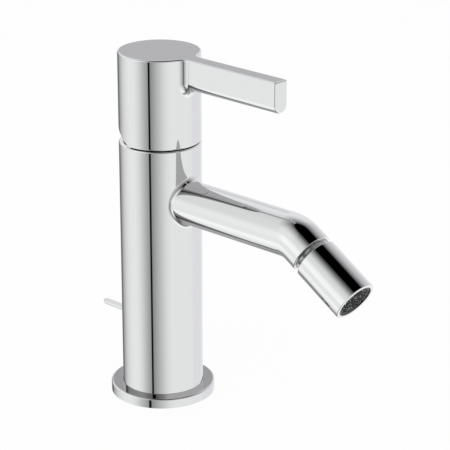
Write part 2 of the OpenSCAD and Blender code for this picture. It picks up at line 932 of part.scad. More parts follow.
module pull_rod() {
    color(brass)
    translate([-pull_rod_x, 0, rod_bottom])
        difference() {
            cylinder(r = pull_rod_r, h = knob_rod_z - block_below + rod_insert - rod_bottom);
            translate([0, 0, -cut])
                cylinder(r = rod_thread_r, h = rod_thread_l + cut);
        }
}

// Block that joins the pull rod and the knob rod
module rod_block() {
    color(brass)
    difference() {
        translate([-block_x - block_l, -block_w / 2, knob_rod_z - block_below])
            cube([block_l, block_w, block_below + block_above]);
        translate([-pull_rod_x, 0, knob_rod_z - block_below - cut])
            cylinder(r = pull_rod_r + seat_fit, h = rod_insert + cut);
        translate([-block_x - block_l - cut, 0, knob_rod_z])
            rotate([0, 90, 0])
                cylinder(r = knob_rod_r + seat_fit, h = block_l + 2 * cut);
        translate([-pull_rod_x, 0, knob_rod_z])
            cylinder(r = block_screw_r + seat_fit, h = block_above + cut);
    }
}

module block_screw() {
    color(grey_plastic)
    translate([-pull_rod_x, 0, knob_rod_z + knob_rod_r + seat_fit])
        difference() {
            cylinder(r = block_screw_r, h = block_above - knob_rod_r - seat_fit);
            translate([0, 0, block_above - knob_rod_r - block_screw_r])
                cylinder(r = block_screw_r / 2, h = block_screw_r + cut, $fn = 6);
        }
}

// Thin level rod behind the column, round at its free end
module knob_rod() {
    color(chrome)
    translate([-knob_rod_reach + knob_rod_r, 0, knob_rod_z])
        rotate([0, 90, 0]) {
            sphere(r = knob_rod_r);
            cylinder(r = knob_rod_r, h = knob_rod_reach - knob_rod_r - block_x);
        }
}

body();
base_ring();
base_gasket();
foot();
hot_inlet_tube();
cold_inlet_tube();
tube_seals();
cartridge_base();
port_seals();
fixed_disc();
moving_disc();
disc_carrier();
cartridge_housing();
rotor();
stem_pin();
stem();
cartridge_nut();
nut_cover();
handle();
handle_screw();
screw_cover();
ball_seal();
ball_seat();
slip_ring();
ball_nut();
swivel_ball();
neck_seal();
neck_nut();
nozzle_barrel();
aerator_seal();
aerator_housing();
flow_disc();
outlet_grille();
rod_guide();
pull_rod();
rod_block();
block_screw();
knob_rod();
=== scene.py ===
"""Chrome skins, finishes, light and camera for a packed single-lever bidet mixer.

Sizes are in millimetres here and in metres in the meshes. The column stands on +Z,
and the lever and the spout point along +X.
"""

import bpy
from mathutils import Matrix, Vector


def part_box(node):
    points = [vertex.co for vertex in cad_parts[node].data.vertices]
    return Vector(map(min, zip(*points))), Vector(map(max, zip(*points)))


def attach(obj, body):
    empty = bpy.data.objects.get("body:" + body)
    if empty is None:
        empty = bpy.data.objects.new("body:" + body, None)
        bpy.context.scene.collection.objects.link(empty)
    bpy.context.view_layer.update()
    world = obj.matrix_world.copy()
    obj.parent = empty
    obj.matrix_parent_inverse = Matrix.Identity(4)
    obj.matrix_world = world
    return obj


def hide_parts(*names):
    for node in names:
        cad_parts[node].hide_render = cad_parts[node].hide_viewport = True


bl_info = {
    "name": "Bidet mixer",
    "version": (1, 0, 0),
    "blender": (4, 5, 0),
    "location": "View3D > Sidebar > Mixer",
    "description": "Chrome skins, finishes, light and camera for a bidet mixer",
    "category": "Object",
}

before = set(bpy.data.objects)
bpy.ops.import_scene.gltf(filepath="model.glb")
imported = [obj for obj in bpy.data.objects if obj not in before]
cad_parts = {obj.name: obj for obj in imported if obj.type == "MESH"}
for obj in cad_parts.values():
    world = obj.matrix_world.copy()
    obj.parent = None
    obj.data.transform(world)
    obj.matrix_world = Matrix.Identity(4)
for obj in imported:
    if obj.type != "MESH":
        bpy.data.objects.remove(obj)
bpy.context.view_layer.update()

import math

import bpy
import numpy as np
from mathutils import Matrix, Vector

MM = 0.001
# Points in the same cell of this size, in metres, become one. The cells are shifted, so
# that round sizes don't lie on their borders.
WELD = 1e-6
WELD_SHIFT = 0.37

# Sizes of the CAD model in millimetres, first those that the frame gives. The column ends
# a little above the cartridge's nut.
NUT_SINK = 0.4
COLUMN_R = -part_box("body")[0].x / MM
COLUMN_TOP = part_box("cartridge_nut")[1].z / MM + NUT_SINK
RING_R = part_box("base_ring")[1].x / MM
RING_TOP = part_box("base_ring")[1].z / MM
CAP_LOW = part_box("handle")[0].z / MM
CAP_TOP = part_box("handle")[1].z / MM
LEVER_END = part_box("handle")[1].x / MM
ROD_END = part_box("knob_rod")[0].x / MM
ROD_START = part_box("knob_rod")[1].x / MM
ROD_Z = (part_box("knob_rod")[0].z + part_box("knob_rod")[1].z) / 2 / MM
# Inside of the column: cavity, foot, spigot, the cartridge's chamber and the nut's thread
CAVITY_R, CAVITY_TOP = 17.2, 88.0
FOOT_R, FOOT_TOP = 17.95, 12.5
SPIGOT_R, SPIGOT_LOW = 19.6, 0.3
CHAMBER_R, CHAMBER_LOW = 17.55, 114.5
NUT_R, NUT_LOW = 18.45, 131.1
# Slot of the lift rod: half width, and the heights of its ends' centres
SLOT_HALF, SLOT_LOW, SLOT_HIGH = 2.0, 36.9, 54.9
# Spout, its bend, its bore from inside the column, and the ball joint's pocket; the end
# and the pocket are measured along the outlet from the bend point
SPOUT_R, SPOUT_Z, SPOUT_END = 11.1, 108.6, 11.5
BEND_X, BEND_R = 92.2, 17.0
OUTLET_DROP = math.radians(31.7)
TANGENT = BEND_R * math.tan(OUTLET_DROP / 2)
BEND_POINT = (BEND_X, 0.0, SPOUT_Z)
BORE_R, BORE_START = 8.5, 19.2
POCKET_R, POCKET_START = 9.55, 2.8
# Cap: inside, boss of the stem, and the relief that rises backwards from behind the axis
CAP_IN_R, CAP_ROOF = 18.5, 178.0
CAP_BOSS_R, CAP_BOSS_LOW = 8.2, 156.0
RELIEF_X, RELIEF_ANGLE = 1.8, math.radians(29)
# Lever's half width and the axis of its round underside; plug at the back of the cap
LEVER_HALF, LEVER_ROUND_Z = 4.3, 172.2
PLUG_R, PLUG_HOLE_R, PLUG_Z = 3.0, 3.05, 166.0
# Cells in the length of an edge's rounding
ROUND_STEPS = 5


# Meshes


def new_object(name, data):
    """Makes an object of the data and links it to the scene."""
    made = bpy.data.objects.new(name, data)
    bpy.context.scene.collection.objects.link(made)
    return made


def joined(*parts):
    """Points or directions whose coordinates are the parts, spread to one shape."""
    return np.stack(np.broadcast_arrays(*parts), axis=-1)


def directions(angles):
    """Flat unit directions at the angles."""
    return joined(np.cos(angles), np.sin(angles))


class Skin:
    """Grids of points with their normals, welded into one closed mesh."""

    def __init__(self):
        self.points, self.normals, self.quads, self.count = [], [], [], 0

    def add(self, points, normals, keep=None):
        """Adds a grid: each cell joins four neighbours and faces as the normals do."""
        points = np.asarray(points, float)
        normals = np.broadcast_to(np.asarray(normals, float), points.shape)
        rows, columns = points.shape[:2]
        index = np.arange(rows * columns).reshape(rows, columns)
        quads = joined(index[:-1, :-1], index[1:, :-1], index[1:, 1:], index[:-1, 1:])
        quads = quads[keep] if keep is not None else quads.reshape(-1, 4)
        flat, facing = points.reshape(-1, 3), normals.reshape(-1, 3)
        a, b, c, d = flat[quads.T]
        across = np.cross(c - a, d - b)
        if np.sum(across * facing[quads].sum(axis=1)) < 0:
            quads = quads[:, ::-1]
        self.points.append(flat)
        self.normals.append(facing)
        self.quads.append(quads + self.count)
        self.count += len(flat)

    def build(self, name):
        """Merges points that share a cell of a micron, drops empty cells, checks that
        every edge has two faces and makes the object with the grids' own normals."""
        points = np.concatenate(self.points) * MM
        normals = np.concatenate(self.normals)
        corners = np.concatenate(self.quads)
        cells = np.floor(points / WELD + WELD_SHIFT).astype(np.int64)
        _, first, merged = np.unique(
            cells, axis=0, return_index=True, return_inverse=True)
        merged = merged.reshape(-1)
        welded = merged[corners]
        same = welded == np.roll(welded, -1, axis=1)
        crossed = (welded[:, 0] == welded[:, 2]) | (welded[:, 1] == welded[:, 3])
        whole = (same.sum(axis=1) == 0) & ~crossed
        folded = (same.sum(axis=1) == 1) & ~crossed
        threes = corners[folded][~same[folded]].reshape(-1, 3)
        loops = np.concatenate([corners[whole].ravel(), threes.ravel()])
        count_4, count_3 = int(whole.sum()), len(threes)
        starts = np.concatenate(
            [4 * np.arange(count_4), 4 * count_4 + 3 * np.arange(count_3)]
        )
        mesh = bpy.data.meshes.new(name)
        mesh.vertices.add(len(first))
        mesh.vertices.foreach_set("co", points[first].astype(np.float32).ravel())
        mesh.loops.add(len(loops))
        mesh.loops.foreach_set("vertex_index", merged[loops].astype(np.int32))
        mesh.polygons.add(len(starts))
        mesh.polygons.foreach_set("loop_start", starts.astype(np.int32))
        mesh.update(calc_edges=True)
        sides = np.zeros(len(mesh.loops), np.int32)
        mesh.loops.foreach_get("edge_index", sides)
        open_edges = int((np.bincount(sides, minlength=len(mesh.edges)) != 2).sum())
        if open_edges:
            raise RuntimeError(f"{name} has {open_edges} edges that don't join two faces")
        mesh.shade_smooth()
        mesh.normals_split_custom_set(normals[loops])
        return new_object(name, mesh)


def unit(vectors):
    """Each vector divided by its own length."""
    return vectors / np.linalg.norm(vectors, axis=-1, keepdims=True)


def rounded_profile(corners, closed=False):
    """Profile of straight runs in (radius, height) with rounded corners.

    The metal lies on the left of the way round. At each corner the point runs along
    an arc of the corner's radius, and the normal turns evenly from the one run's to
    the other's; a corner of radius 0 keeps its point and takes both normals.
    """
    places = np.array([c[:2] for c in corners], float)
    ahead = np.roll(places, -1, axis=0) - places
    ahead = unit(ahead[: len(ahead) if closed else -1])
    outward = joined(ahead[:, 1], -ahead[:, 0])
    points, normals = [], []
    for i, (*_, rounding) in enumerate(corners):
        if not closed and i in (0, len(corners) - 1):
            points.append(places[i : i + 1])
            normals.append(outward[:1] if i == 0 else outward[-1:])
            continue
        before, after = outward[i - 1], outward[i]
        turn = math.atan2(before[0] * after[1] - before[1] * after[0], before @ after)
        if rounding == 0:
            points.append(places[[i, i]])
            normals.append(np.stack([before, after]))
            continue
        start = math.atan2(before[1], before[0])
        arc = directions(start + turn * np.linspace(0, 1, ROUND_STEPS + 1))
        side = math.copysign(rounding, turn)
        centre = places[i] - side * (before + after) / (1 + before @ after)
        points.append(centre + side * arc)
        normals.append(arc)
    if closed:
        points.append(points[0][:1])
        normals.append(normals[0][:1])
    return np.concatenate(points), np.concatenate(normals)


def turned(skin, profile, angles, origin=(0, 0, 0), axis=(0, 0, 1), side=(1, 0, 0)):
    """Turns a profile about an axis: point = origin + height * axis + radius *
    (cos a * side + sin a * (axis x side)), and its normal turns with it."""
    points, normals = profile
    axis, side = np.array(axis, float), np.array(side, float)
    other = np.cross(axis, side)
    spokes = np.cos(angles)[:, None] * side + np.sin(angles)[:, None] * other
    grid = points[:, None, 0, None] * spokes + points[:, None, 1, None] * axis
    facing = normals[:, None, 0, None] * spokes + normals[:, None, 1, None] * axis
    skin.add(grid + np.array(origin, float), facing)


def full_turn(count):
    """Angles round a full turn."""
    return np.linspace(0, 2 * math.pi, count + 1)


def runs(start, *ends):
    """Values from a start through each end in turn, in even steps: (end, steps)."""
    values = [np.array([start], float)]
    for end, steps in ends:
        values.append(np.linspace(start, end, steps + 1)[1:])
        start = end
    return np.concatenate(values)


def on_cylinder(radius, angles, heights):
    """Points of an upright cylinder and their outward normals."""
    angles, heights = np.broadcast_arrays(angles, heights)
    outward = joined(np.cos(angles), np.sin(angles), 0.0)
    points = radius * outward
    points[..., 2] = heights
    return points, outward


def wall(skin, radius, angles, heights, gaps=(), inward=False):
    """Upright cylinder over a grid of angles and heights, without its gaps' cells."""
    points, outward = on_cylinder(radius, angles[None], heights)
    keep = np.ones((points.shape[0] - 1, points.shape[1] - 1), bool)
    for gap in gaps:
        keep[gap] = False
    skin.add(points, -outward if inward else outward, keep)


def window_edge(angles, heights):
    """Edge of a rectangle of grid lines: along the bottom, up, back at the top, down."""
    return np.concatenate([
        joined(angles, heights[0]), joined(angles[-1], heights[1:]),
        joined(angles[-2::-1], heights[-1]), joined(angles[0], heights[-2::-1]),
    ])


def window(skin, radius, edge, curve, inward=False, steps=6):
    """Fills a cylinder's wall between a rectangle of grid lines and a curve: angle and
    height run straight from the one to the other."""
    share = np.linspace(0, 1, steps + 1)[:, None, None]
    places = edge * (1 - share) + curve * share
    points, outward = on_cylinder(radius, places[..., 0], places[..., 1])
    skin.add(points, -outward if inward else outward)


def long_hole(half, low, high, columns, rows, corner_rows):
    """Outline of a hole with round ends: arcs of radius half about its two centres,
    joined by straight sides, in as many steps as its window's edge has."""
    quarter = math.pi / 4
    side = rows - 2 * corner_rows
    turns = runs(5 * quarter, *((turn * quarter, steps) for turn, steps in (
        (7, columns), (8, corner_rows), (8, side), (9, corner_rows),
        (11, columns), (12, corner_rows), (12, side), (13, corner_rows))))
    rise = runs(
        0, (0, columns + corner_rows), (1, side), (1, columns + 2 * corner_rows),
        (0, side), (0, corner_rows))
    across = half * np.cos(turns)
    up = low + (high - low) * rise + half * np.sin(turns)
    return across, up, np.cos(turns), np.sin(turns)


def back_hole(skin, outer_r, inner_r, outer_edge, inner_edge, hole, steps=3):
    """Hole bored along X through the back of an upright tube: windows in both walls and
    the bore between them, whose points keep their Y and Z while X follows each wall."""
    across, up, out_y, out_z = hole
    outer = joined(math.pi + np.arcsin(across / outer_r), up)
    inner = joined(math.pi + np.arcsin(across / inner_r), up)
    window(skin, outer_r, outer_edge, outer)
    window(skin, inner_r, inner_edge, inner, inward=True)
    share = np.linspace(0, 1, steps + 1)[:, None]
    far = -np.sqrt(outer_r**2 - across**2)
    near = -np.sqrt(inner_r**2 - across**2)
    points = joined(far * (1 - share) + near * share, -across, up)
    skin.add(points, joined(0.0, out_y, -out_z))


def rolling_ball(upright, ball, outline, facing, steps=14):
    """Fillet that a ball rolls out between an upright cylinder and a branch along X:
    the ball's centre stands off both by its radius, and each section is the arc from
    its touch on the cylinder to its touch on the branch."""
    centre_y = outline[:, 0] + ball * facing[:, 0]
    centre_z = outline[:, 1] + ball * facing[:, 1]
    centre_x = np.sqrt((upright + ball) ** 2 - centre_y**2)
    centre = joined(centre_x, centre_y, centre_z)
    to_upright = joined(-centre_x, -centre_y, 0.0) / (upright + ball)
    to_branch = joined(0.0, -facing[:, 0], -facing[:, 1])
    sweep = np.arccos(np.sum(to_upright * to_branch, axis=-1))[None, :, None]
    share = np.linspace(0, 1, steps + 1)[:, None, None]
    ray = np.sin(sweep * (1 - share)) * to_upright + np.sin(sweep * share) * to_branch
    ray = ray / np.sin(sweep)
    return centre + ball * ray, -ray


def touch_line(points):
    """Angle and height of the line where a fillet touches the cylinder."""
    line = points[0]
    return joined(np.arctan2(line[:, 1], line[:, 0]), line[:, 2])


def carried(path, angles):
    """Rings carried along a path: each row has a point, its forward and upward
    directions, a radius and the normal's outward and forward parts."""
    places, ahead, up, radius, out, along = (np.array(part, float) for part in zip(*path))
    level = np.array([0.0, 1.0, 0.0])
    spokes = np.cos(angles)[None, :, None] * level
    spokes = spokes + np.sin(angles)[None, :, None] * up[:, None]
    points = places[:, None] + radius[:, None, None] * spokes
    normals = out[:, None, None] * spokes + along[:, None, None] * ahead[:, None]
    return points, np.broadcast_to(normals, points.shape)


def heading(drop):
    """Forward and upward directions of a way that starts along X and drops."""
    along, fall = math.cos(drop), math.sin(drop)
    return np.array([along, 0.0, -fall]), np.array([fall, 0.0, along])


# Column and spout

# Windows left in the column's grid for the spout and the slot: half angle, cells round
# and up, and the height beyond the outline
SPOUT_WINDOW, SPOUT_COLUMNS, SPOUT_ROWS, SPOUT_MARGIN = math.radians(46), 40, 32, 4
SLOT_WINDOW, SLOT_COLUMNS, SLOT_ROWS, SLOT_MARGIN = math.radians(10), 12, 24, 6
SLOT_CORNER = 4
# Cells from one window round to the other, and up a plain stretch of the wall
SIDE_COLUMNS, PLAIN_ROWS = 64, 4
# Height of the cavity's first row, and the largest rounding of the column's foot
CAVITY_STEP = 22.0
FOOT_EDGE = 0.25
# Steps of the fillet's fine outline, from the spout's window to it, and of the spout's
# level run and bend
FINE_STEPS, SPOUT_STEPS, LEVEL_STEPS, BEND_STEPS = 2880, 10, 23, 18
# Corners of the bore: how far before the bend's end, and before its start
BORE_BACK, BORE_LEVEL = 3, 4


def column_angles():
    """Angles of the column's grid lines, from the spout's window round to it again."""
    return runs(
        -SPOUT_WINDOW, (SPOUT_WINDOW, SPOUT_COLUMNS),
        (math.pi - SLOT_WINDOW, SIDE_COLUMNS), (math.pi + SLOT_WINDOW, SLOT_COLUMNS),
        (2 * math.pi - SPOUT_WINDOW, SIDE_COLUMNS))


def column_skin(edge, spout_fillet):
    """Column, spout, slot, cavity and chamber as one closed surface: the walls are
    upright cylinders with windows, and the ends are profiles turned about the axis."""
    skin = Skin()
    angles = column_angles()
    slot_from = SPOUT_COLUMNS + SIDE_COLUMNS
    slot_to = slot_from + SLOT_COLUMNS
    slot_low, slot_high = SLOT_LOW - SLOT_MARGIN, SLOT_HIGH + SLOT_MARGIN
    reach = SPOUT_R + spout_fillet
    spout_low, spout_high = SPOUT_Z - reach - SPOUT_MARGIN, SPOUT_Z + reach + SPOUT_MARGIN
    foot = min(edge, FOOT_EDGE)
    low, high = RING_TOP + foot, COLUMN_TOP - edge
    rows = runs(
        low, (slot_low, PLAIN_ROWS), (slot_high, SLOT_ROWS), (spout_low, PLAIN_ROWS),
        (spout_high, SPOUT_ROWS), (high, PLAIN_ROWS - 1))
    slot_row, spout_row = PLAIN_ROWS, 2 * PLAIN_ROWS + SLOT_ROWS
    wall(skin, COLUMN_R, angles, rows[:, None], [
        np.s_[slot_row : slot_row + SLOT_ROWS, slot_from:slot_to],
        np.s_[spout_row : spout_row + SPOUT_ROWS, :SPOUT_COLUMNS]])
    cavity_rows = runs(
        FOOT_TOP, (CAVITY_STEP, 1), (slot_low, 1), (slot_high, SLOT_ROWS),
        (CAVITY_TOP, PLAIN_ROWS - 1))
    wall(skin, CAVITY_R, angles, cavity_rows[:, None], [
        np.s_[2 : 2 + SLOT_ROWS, slot_from:slot_to]], inward=True)
    slot_edge = window_edge(
        angles[slot_from : slot_to + 1], rows[slot_row : slot_row + SLOT_ROWS + 1])
    hole = long_hole(SLOT_HALF, SLOT_LOW, SLOT_HIGH, SLOT_COLUMNS, SLOT_ROWS, SLOT_CORNER)
    back_hole(skin, COLUMN_R, CAVITY_R, slot_edge, slot_edge, hole)

    for profile in (
        [(COLUMN_R, high, 0), (COLUMN_R, COLUMN_TOP, edge), (NUT_R, COLUMN_TOP, edge),
         (NUT_R, NUT_LOW, 0), (CHAMBER_R, NUT_LOW, 0), (CHAMBER_R, CHAMBER_LOW, 0),
         (0, CHAMBER_LOW, 0)],
        [(0, CAVITY_TOP, 0), (CAVITY_R, CAVITY_TOP, 0)],
        [(CAVITY_R, FOOT_TOP, 0), (FOOT_R, FOOT_TOP, 0), (FOOT_R, SPIGOT_LOW, 0),
         (SPIGOT_R, SPIGOT_LOW, 0), (SPIGOT_R, RING_TOP, 0), (COLUMN_R, RING_TOP, foot),
         (COLUMN_R, low, 0)],
    ):
        turned(skin, rounded_profile(profile), angles)

    spout_edge = window_edge(
        angles[: SPOUT_COLUMNS + 1], rows[spout_row : spout_row + SPOUT_ROWS + 1])
    spout_part(skin, spout_edge, spout_fillet, edge)
    return skin


def spout_part(skin, spout_edge, fillet, edge):
    """Spout from its fillet on the column to the pocket of the ball joint. Each point of
    the window goes to the point of the fillet's outline at the same angle about the
    spout's axis, and rings of these angles run level, round the bend and to the end."""
    fine = np.linspace(-math.pi, math.pi, FINE_STEPS + 1)
    circle = directions(fine)
    points, _ = rolling_ball(COLUMN_R, fillet, SPOUT_R * circle + [0, SPOUT_Z], circle, 1)
    touch = touch_line(points)
    seen = np.unwrap(np.arctan2(touch[:, 1] - SPOUT_Z, touch[:, 0] * COLUMN_R))
    wanted = np.arctan2(spout_edge[:, 1] - SPOUT_Z, spout_edge[:, 0] * COLUMN_R)
    around = np.interp(wanted, seen - seen[len(seen) // 2], fine)
    around[-1] = around[0]
    facing = directions(around)
    outline = SPOUT_R * facing + [0, SPOUT_Z]
    points, normals = rolling_ball(COLUMN_R, fillet, outline, facing)
    window(skin, COLUMN_R, spout_edge, touch_line(points), steps=SPOUT_STEPS)
    skin.add(points, normals)

    level_end = BEND_X - TANGENT
    share = np.linspace(0, 1, LEVEL_STEPS + 1)[:, None, None]
    level = points[-1].copy()
    level[:, 0] = level_end
    skin.add(points[-1] * (1 - share) + level * share, normals[-1][None])

    ahead, up = heading(OUTLET_DROP)
    rows = []
    for turn in np.linspace(0, OUTLET_DROP, BEND_STEPS + 1):
        forward, rise = heading(turn)
        centre = np.array([level_end, 0.0, SPOUT_Z - BEND_R]) + BEND_R * rise
        rows.append((centre, forward, rise, SPOUT_R, 1, 0))
    rim = min(edge, (SPOUT_R - POCKET_R) / 4)
    bore_end = TANGENT - BORE_BACK
    profile, turns = rounded_profile([
        (SPOUT_R, TANGENT, 0), (SPOUT_R, SPOUT_END, rim), (POCKET_R, SPOUT_END, rim),
        (POCKET_R, POCKET_START, 0), (BORE_R, POCKET_START, 0), (BORE_R, bore_end, 0),
    ])
    for (radius, distance), (out, along) in zip(profile, turns):
        rows.append((BEND_POINT + distance * ahead, ahead, up, radius, out, along))
    skin.add(*carried(rows, around))

    # The bore goes back level from there and ends in a flat wall inside the column
    level, rise = [1, 0, 0], [0, 0, 1]
    end = np.array([BORE_START, 0.0, SPOUT_Z])
    skin.add(*carried([
        (BEND_POINT + bore_end * ahead, ahead, up, BORE_R, -1, 0),
        (np.array([level_end - BORE_LEVEL, 0.0, SPOUT_Z]), level, rise, BORE_R, -1, 0),
        (end, level, rise, BORE_R, -1, 0),
        (end, level, rise, BORE_R, 0, 1),
        (end, level, rise, 0, 0, 1),
    ], around))


# Cap and lever

# Windows left in the cap's grid for the lever and the plug's hole: half angle, cells, and
# the lever's lowest height or the height beyond the plug's middle
LEVER_WINDOW, LEVER_COLUMNS, LEVER_WINDOW_LOW = math.radians(30), 30, 157.5
PLUG_WINDOW, PLUG_COLUMNS, PLUG_ROWS, PLUG_MARGIN = math.radians(15), 12, 12, 5
# Cells from the lever's window round to the relief, and from there to the plug's window;
# rows under the lever's window, and above the plug's
FRONT_COLUMNS, BACK_COLUMNS = 32, 36
LOW_ROWS, HIGH_ROWS = 6, 7
# Cells of the lever: straight part of its sides, fillet, window, and run to the end
STRAIGHT_ROWS, FILLET_STEPS, WINDOW_STEPS, RUN_STEPS = 10, 18, 9, 19
# Rings of the plug's flat part
PLUG_RINGS = 5


def cap_angles(radius):
    """Angles of the cap's grid lines, with one where the relief starts."""
    relief = math.pi / 2 + math.asin(RELIEF_X / radius)
    plug = math.pi - PLUG_WINDOW
    left = runs(LEVER_WINDOW, (relief, FRONT_COLUMNS), (plug, BACK_COLUMNS))
    front = runs(-LEVER_WINDOW, (LEVER_WINDOW, LEVER_COLUMNS))
    back = runs(plug, (math.pi + PLUG_WINDOW, PLUG_COLUMNS))
    return np.concatenate([front[:-1], left[:-1], back[:-1], 2 * math.pi - left[::-1]])


def cap_low(points):
    """Height of the cap's underside: level, then rising backwards over the relief."""
    behind = np.maximum(-RELIEF_X - points[..., 0], 0)
    return CAP_LOW + behind * math.tan(RELIEF_ANGLE)


def cap_skin(edge, lever_fillet):
    """Cap and lever as one closed surface: the walls are upright cylinders with windows,
    and the underside follows the relief."""
    skin = Skin()
    angles, inner_angles = cap_angles(COLUMN_R), cap_angles(CAP_IN_R)
    to_plug = (PLUG_Z - PLUG_MARGIN, 1), (PLUG_Z + PLUG_MARGIN, PLUG_ROWS)
    rows = runs(LEVER_WINDOW_LOW, *to_plug, (CAP_TOP - edge, HIGH_ROWS))
    inner_rows = runs(LEVER_WINDOW_LOW, *to_plug, (CAP_ROOF, 1))
    plug_from = LEVER_COLUMNS + FRONT_COLUMNS + BACK_COLUMNS
    plug_to = plug_from + PLUG_COLUMNS
    plug_gap = np.s_[1 : 1 + PLUG_ROWS, plug_from:plug_to]
    wall(skin, COLUMN_R, angles, rows[:, None], [plug_gap, np.s_[:, :LEVER_COLUMNS]])
    share = np.linspace(0, 1, LOW_ROWS + 1)[:, None]
    rim, _ = on_cylinder(COLUMN_R, angles, 0.0)
    heights = (cap_low(rim) + edge) * (1 - share) + LEVER_WINDOW_LOW * share
    wall(skin, COLUMN_R, angles, heights)

    # Underside: a rounded outer edge, the flat front and the sloping relief
    down = np.array([0.0, 0.0, -1.0])
    sloping = np.array([-math.sin(RELIEF_ANGLE), 0, -math.cos(RELIEF_ANGLE)])
    relief_from = LEVER_COLUMNS + FRONT_COLUMNS
    relief_to = len(angles) - 1 - FRONT_COLUMNS
    turn = np.linspace(0, math.pi / 2, ROUND_STEPS + 1)[:, None]
    radius = COLUMN_R - edge * (1 - np.cos(turn))
    for part, facing in (
        (slice(0, relief_from + 1), down),
        (slice(relief_from, relief_to + 1), sloping),
        (slice(relief_to, len(angles)), down),
    ):
        points, out = on_cylinder(1.0, angles[None, part], 0.0 * turn)
        points = points * radius[..., None]
        points[..., 2] = cap_low(points) + edge * (1 - np.sin(turn))
        normals = unit(np.cos(turn)[..., None] * out + np.sin(turn)[..., None] * facing)
        skin.add(points, normals)
        inner, _ = on_cylinder(CAP_IN_R, inner_angles[part], 0.0)
        inner[..., 2] = cap_low(inner)
        skin.add(np.stack([points[-1], inner]), facing)

    # Inside: wall, roof and the boss of the stem
    wall(skin, CAP_IN_R, inner_angles, inner_rows[:, None], [plug_gap], inward=True)
    rim, _ = on_cylinder(CAP_IN_R, inner_angles, 0.0)
    heights = cap_low(rim) * (1 - share) + LEVER_WINDOW_LOW * share
    wall(skin, CAP_IN_R, inner_angles, heights, inward=True)
    turned(skin, rounded_profile([
        (CAP_IN_R, CAP_ROOF, 0), (CAP_BOSS_R, CAP_ROOF, 0), (CAP_BOSS_R, CAP_BOSS_LOW, 0),
        (0, CAP_BOSS_LOW, 0),
    ]), inner_angles)
    hole = long_hole(PLUG_HOLE_R, PLUG_Z, PLUG_Z, PLUG_COLUMNS, PLUG_ROWS, PLUG_ROWS // 2)
    outer_edge, inner_edge = (
        window_edge(round_it[plug_from : plug_to + 1], rows[1 : 2 + PLUG_ROWS])
        for round_it in (angles, inner_angles))
    back_hole(skin, COLUMN_R, CAP_IN_R, outer_edge, inner_edge, hole)

    lever_part(skin, angles, rows, edge, lever_fillet)
    return skin


def rounded_edge(line, out, on, edge):
    """Quarter round from a wall's line over to the next face: point = line + edge *
    (sin a * on - (1 - cos a) * out), and its normal turns from out to on."""
    turn = np.linspace(0, math.pi / 2, ROUND_STEPS + 1)[:, None, None]
    points = line + edge * (np.sin(turn) * on - (1 - np.cos(turn)) * out)
    return points, np.cos(turn) * out + np.sin(turn) * on


def lever_part(skin, angles, rows, edge, fillet):
    """Lever with its fillet, its end, and the top face that it shares with the cap: its
    section is two straight sides on a half circle, carried along X."""
    high = rows[-1]
    bend_steps = 2 * (len(rows) - 1 - STRAIGHT_ROWS) + LEVER_COLUMNS
    turns = -np.linspace(0, math.pi, bend_steps + 1)
    fall = np.linspace(high, LEVER_ROUND_Z, STRAIGHT_ROWS + 1)
    facing = np.concatenate([
        np.tile([[1.0, 0.0]], (STRAIGHT_ROWS, 1)),
        directions(turns),
        np.tile([[-1.0, 0.0]], (STRAIGHT_ROWS, 1)),
    ])
    middle = np.concatenate([
        fall[:-1], np.full(bend_steps + 1, LEVER_ROUND_Z), fall[-2::-1]])
    outline = LEVER_HALF * facing + joined(0.0, middle)
    points, normals = rolling_ball(COLUMN_R, fillet, outline, facing, FILLET_STEPS)
    touch = touch_line(points)
    front = angles[: LEVER_COLUMNS + 1]
    window_side = np.concatenate([
        joined(front[-1], rows[:0:-1]), joined(front[::-1], rows[0]),
        joined(front[0], rows[1:]),
    ])
    window(skin, COLUMN_R, window_side, touch, steps=WINDOW_STEPS)

    # Straight run, rounded end and flat end face
    forward, upward = np.array([1.0, 0.0, 0.0]), np.array([0.0, 0.0, 1.0])
    share = np.linspace(0, 1, RUN_STEPS + 1)[1:, None, None]
    last = points[-1].copy()
    last[:, 0] = LEVER_END - edge
    run = points[-1] * (1 - share) + last * share
    outward = joined(0.0, facing[:, 0], facing[:, 1])
    end_points, end_normals = rounded_edge(last, outward, forward, edge)
    side = np.concatenate([points, run, end_points[1:]])
    side_normals = np.concatenate([
        normals, np.broadcast_to(normals[-1], run.shape), end_normals[1:]])
    skin.add(side, side_normals)
    half = (len(middle) - 1) // 2
    end = side[-1]
    skin.add(np.stack([end[: half + 1], end[: half - 1 : -1]]), forward)

    # Top: the walls' upper edge in plan, its rounding, and the flat face inside it
    left_arc, left_out = on_cylinder(COLUMN_R, angles[LEVER_COLUMNS:], high)
    middle_arc = (len(left_arc) - 1) // 2
    to_touch = np.linspace(0, 1, WINDOW_STEPS + 1)[1:-1]
    gap_angles = front[-1] * (1 - to_touch) + touch[0, 0] * to_touch
    gap_arc, gap_out = on_cylinder(COLUMN_R, gap_angles, high)
    plan = np.concatenate([left_arc[middle_arc::-1], gap_arc, side[:, 0]])
    plan_out = np.concatenate([left_out[middle_arc::-1], gap_out, side_normals[:, 0]])
    mirrored = np.array([1, -1, 1])
    for flip in (1, mirrored):
        skin.add(*rounded_edge(plan * flip, plan_out * flip, upward, edge))
    inner = plan - edge * plan_out + edge * upward
    skin.add(np.stack([inner, inner * mirrored]), upward)
    tip = np.stack([end[0], end[0] * mirrored])
    skin.add(*rounded_edge(tip, forward, upward, edge))


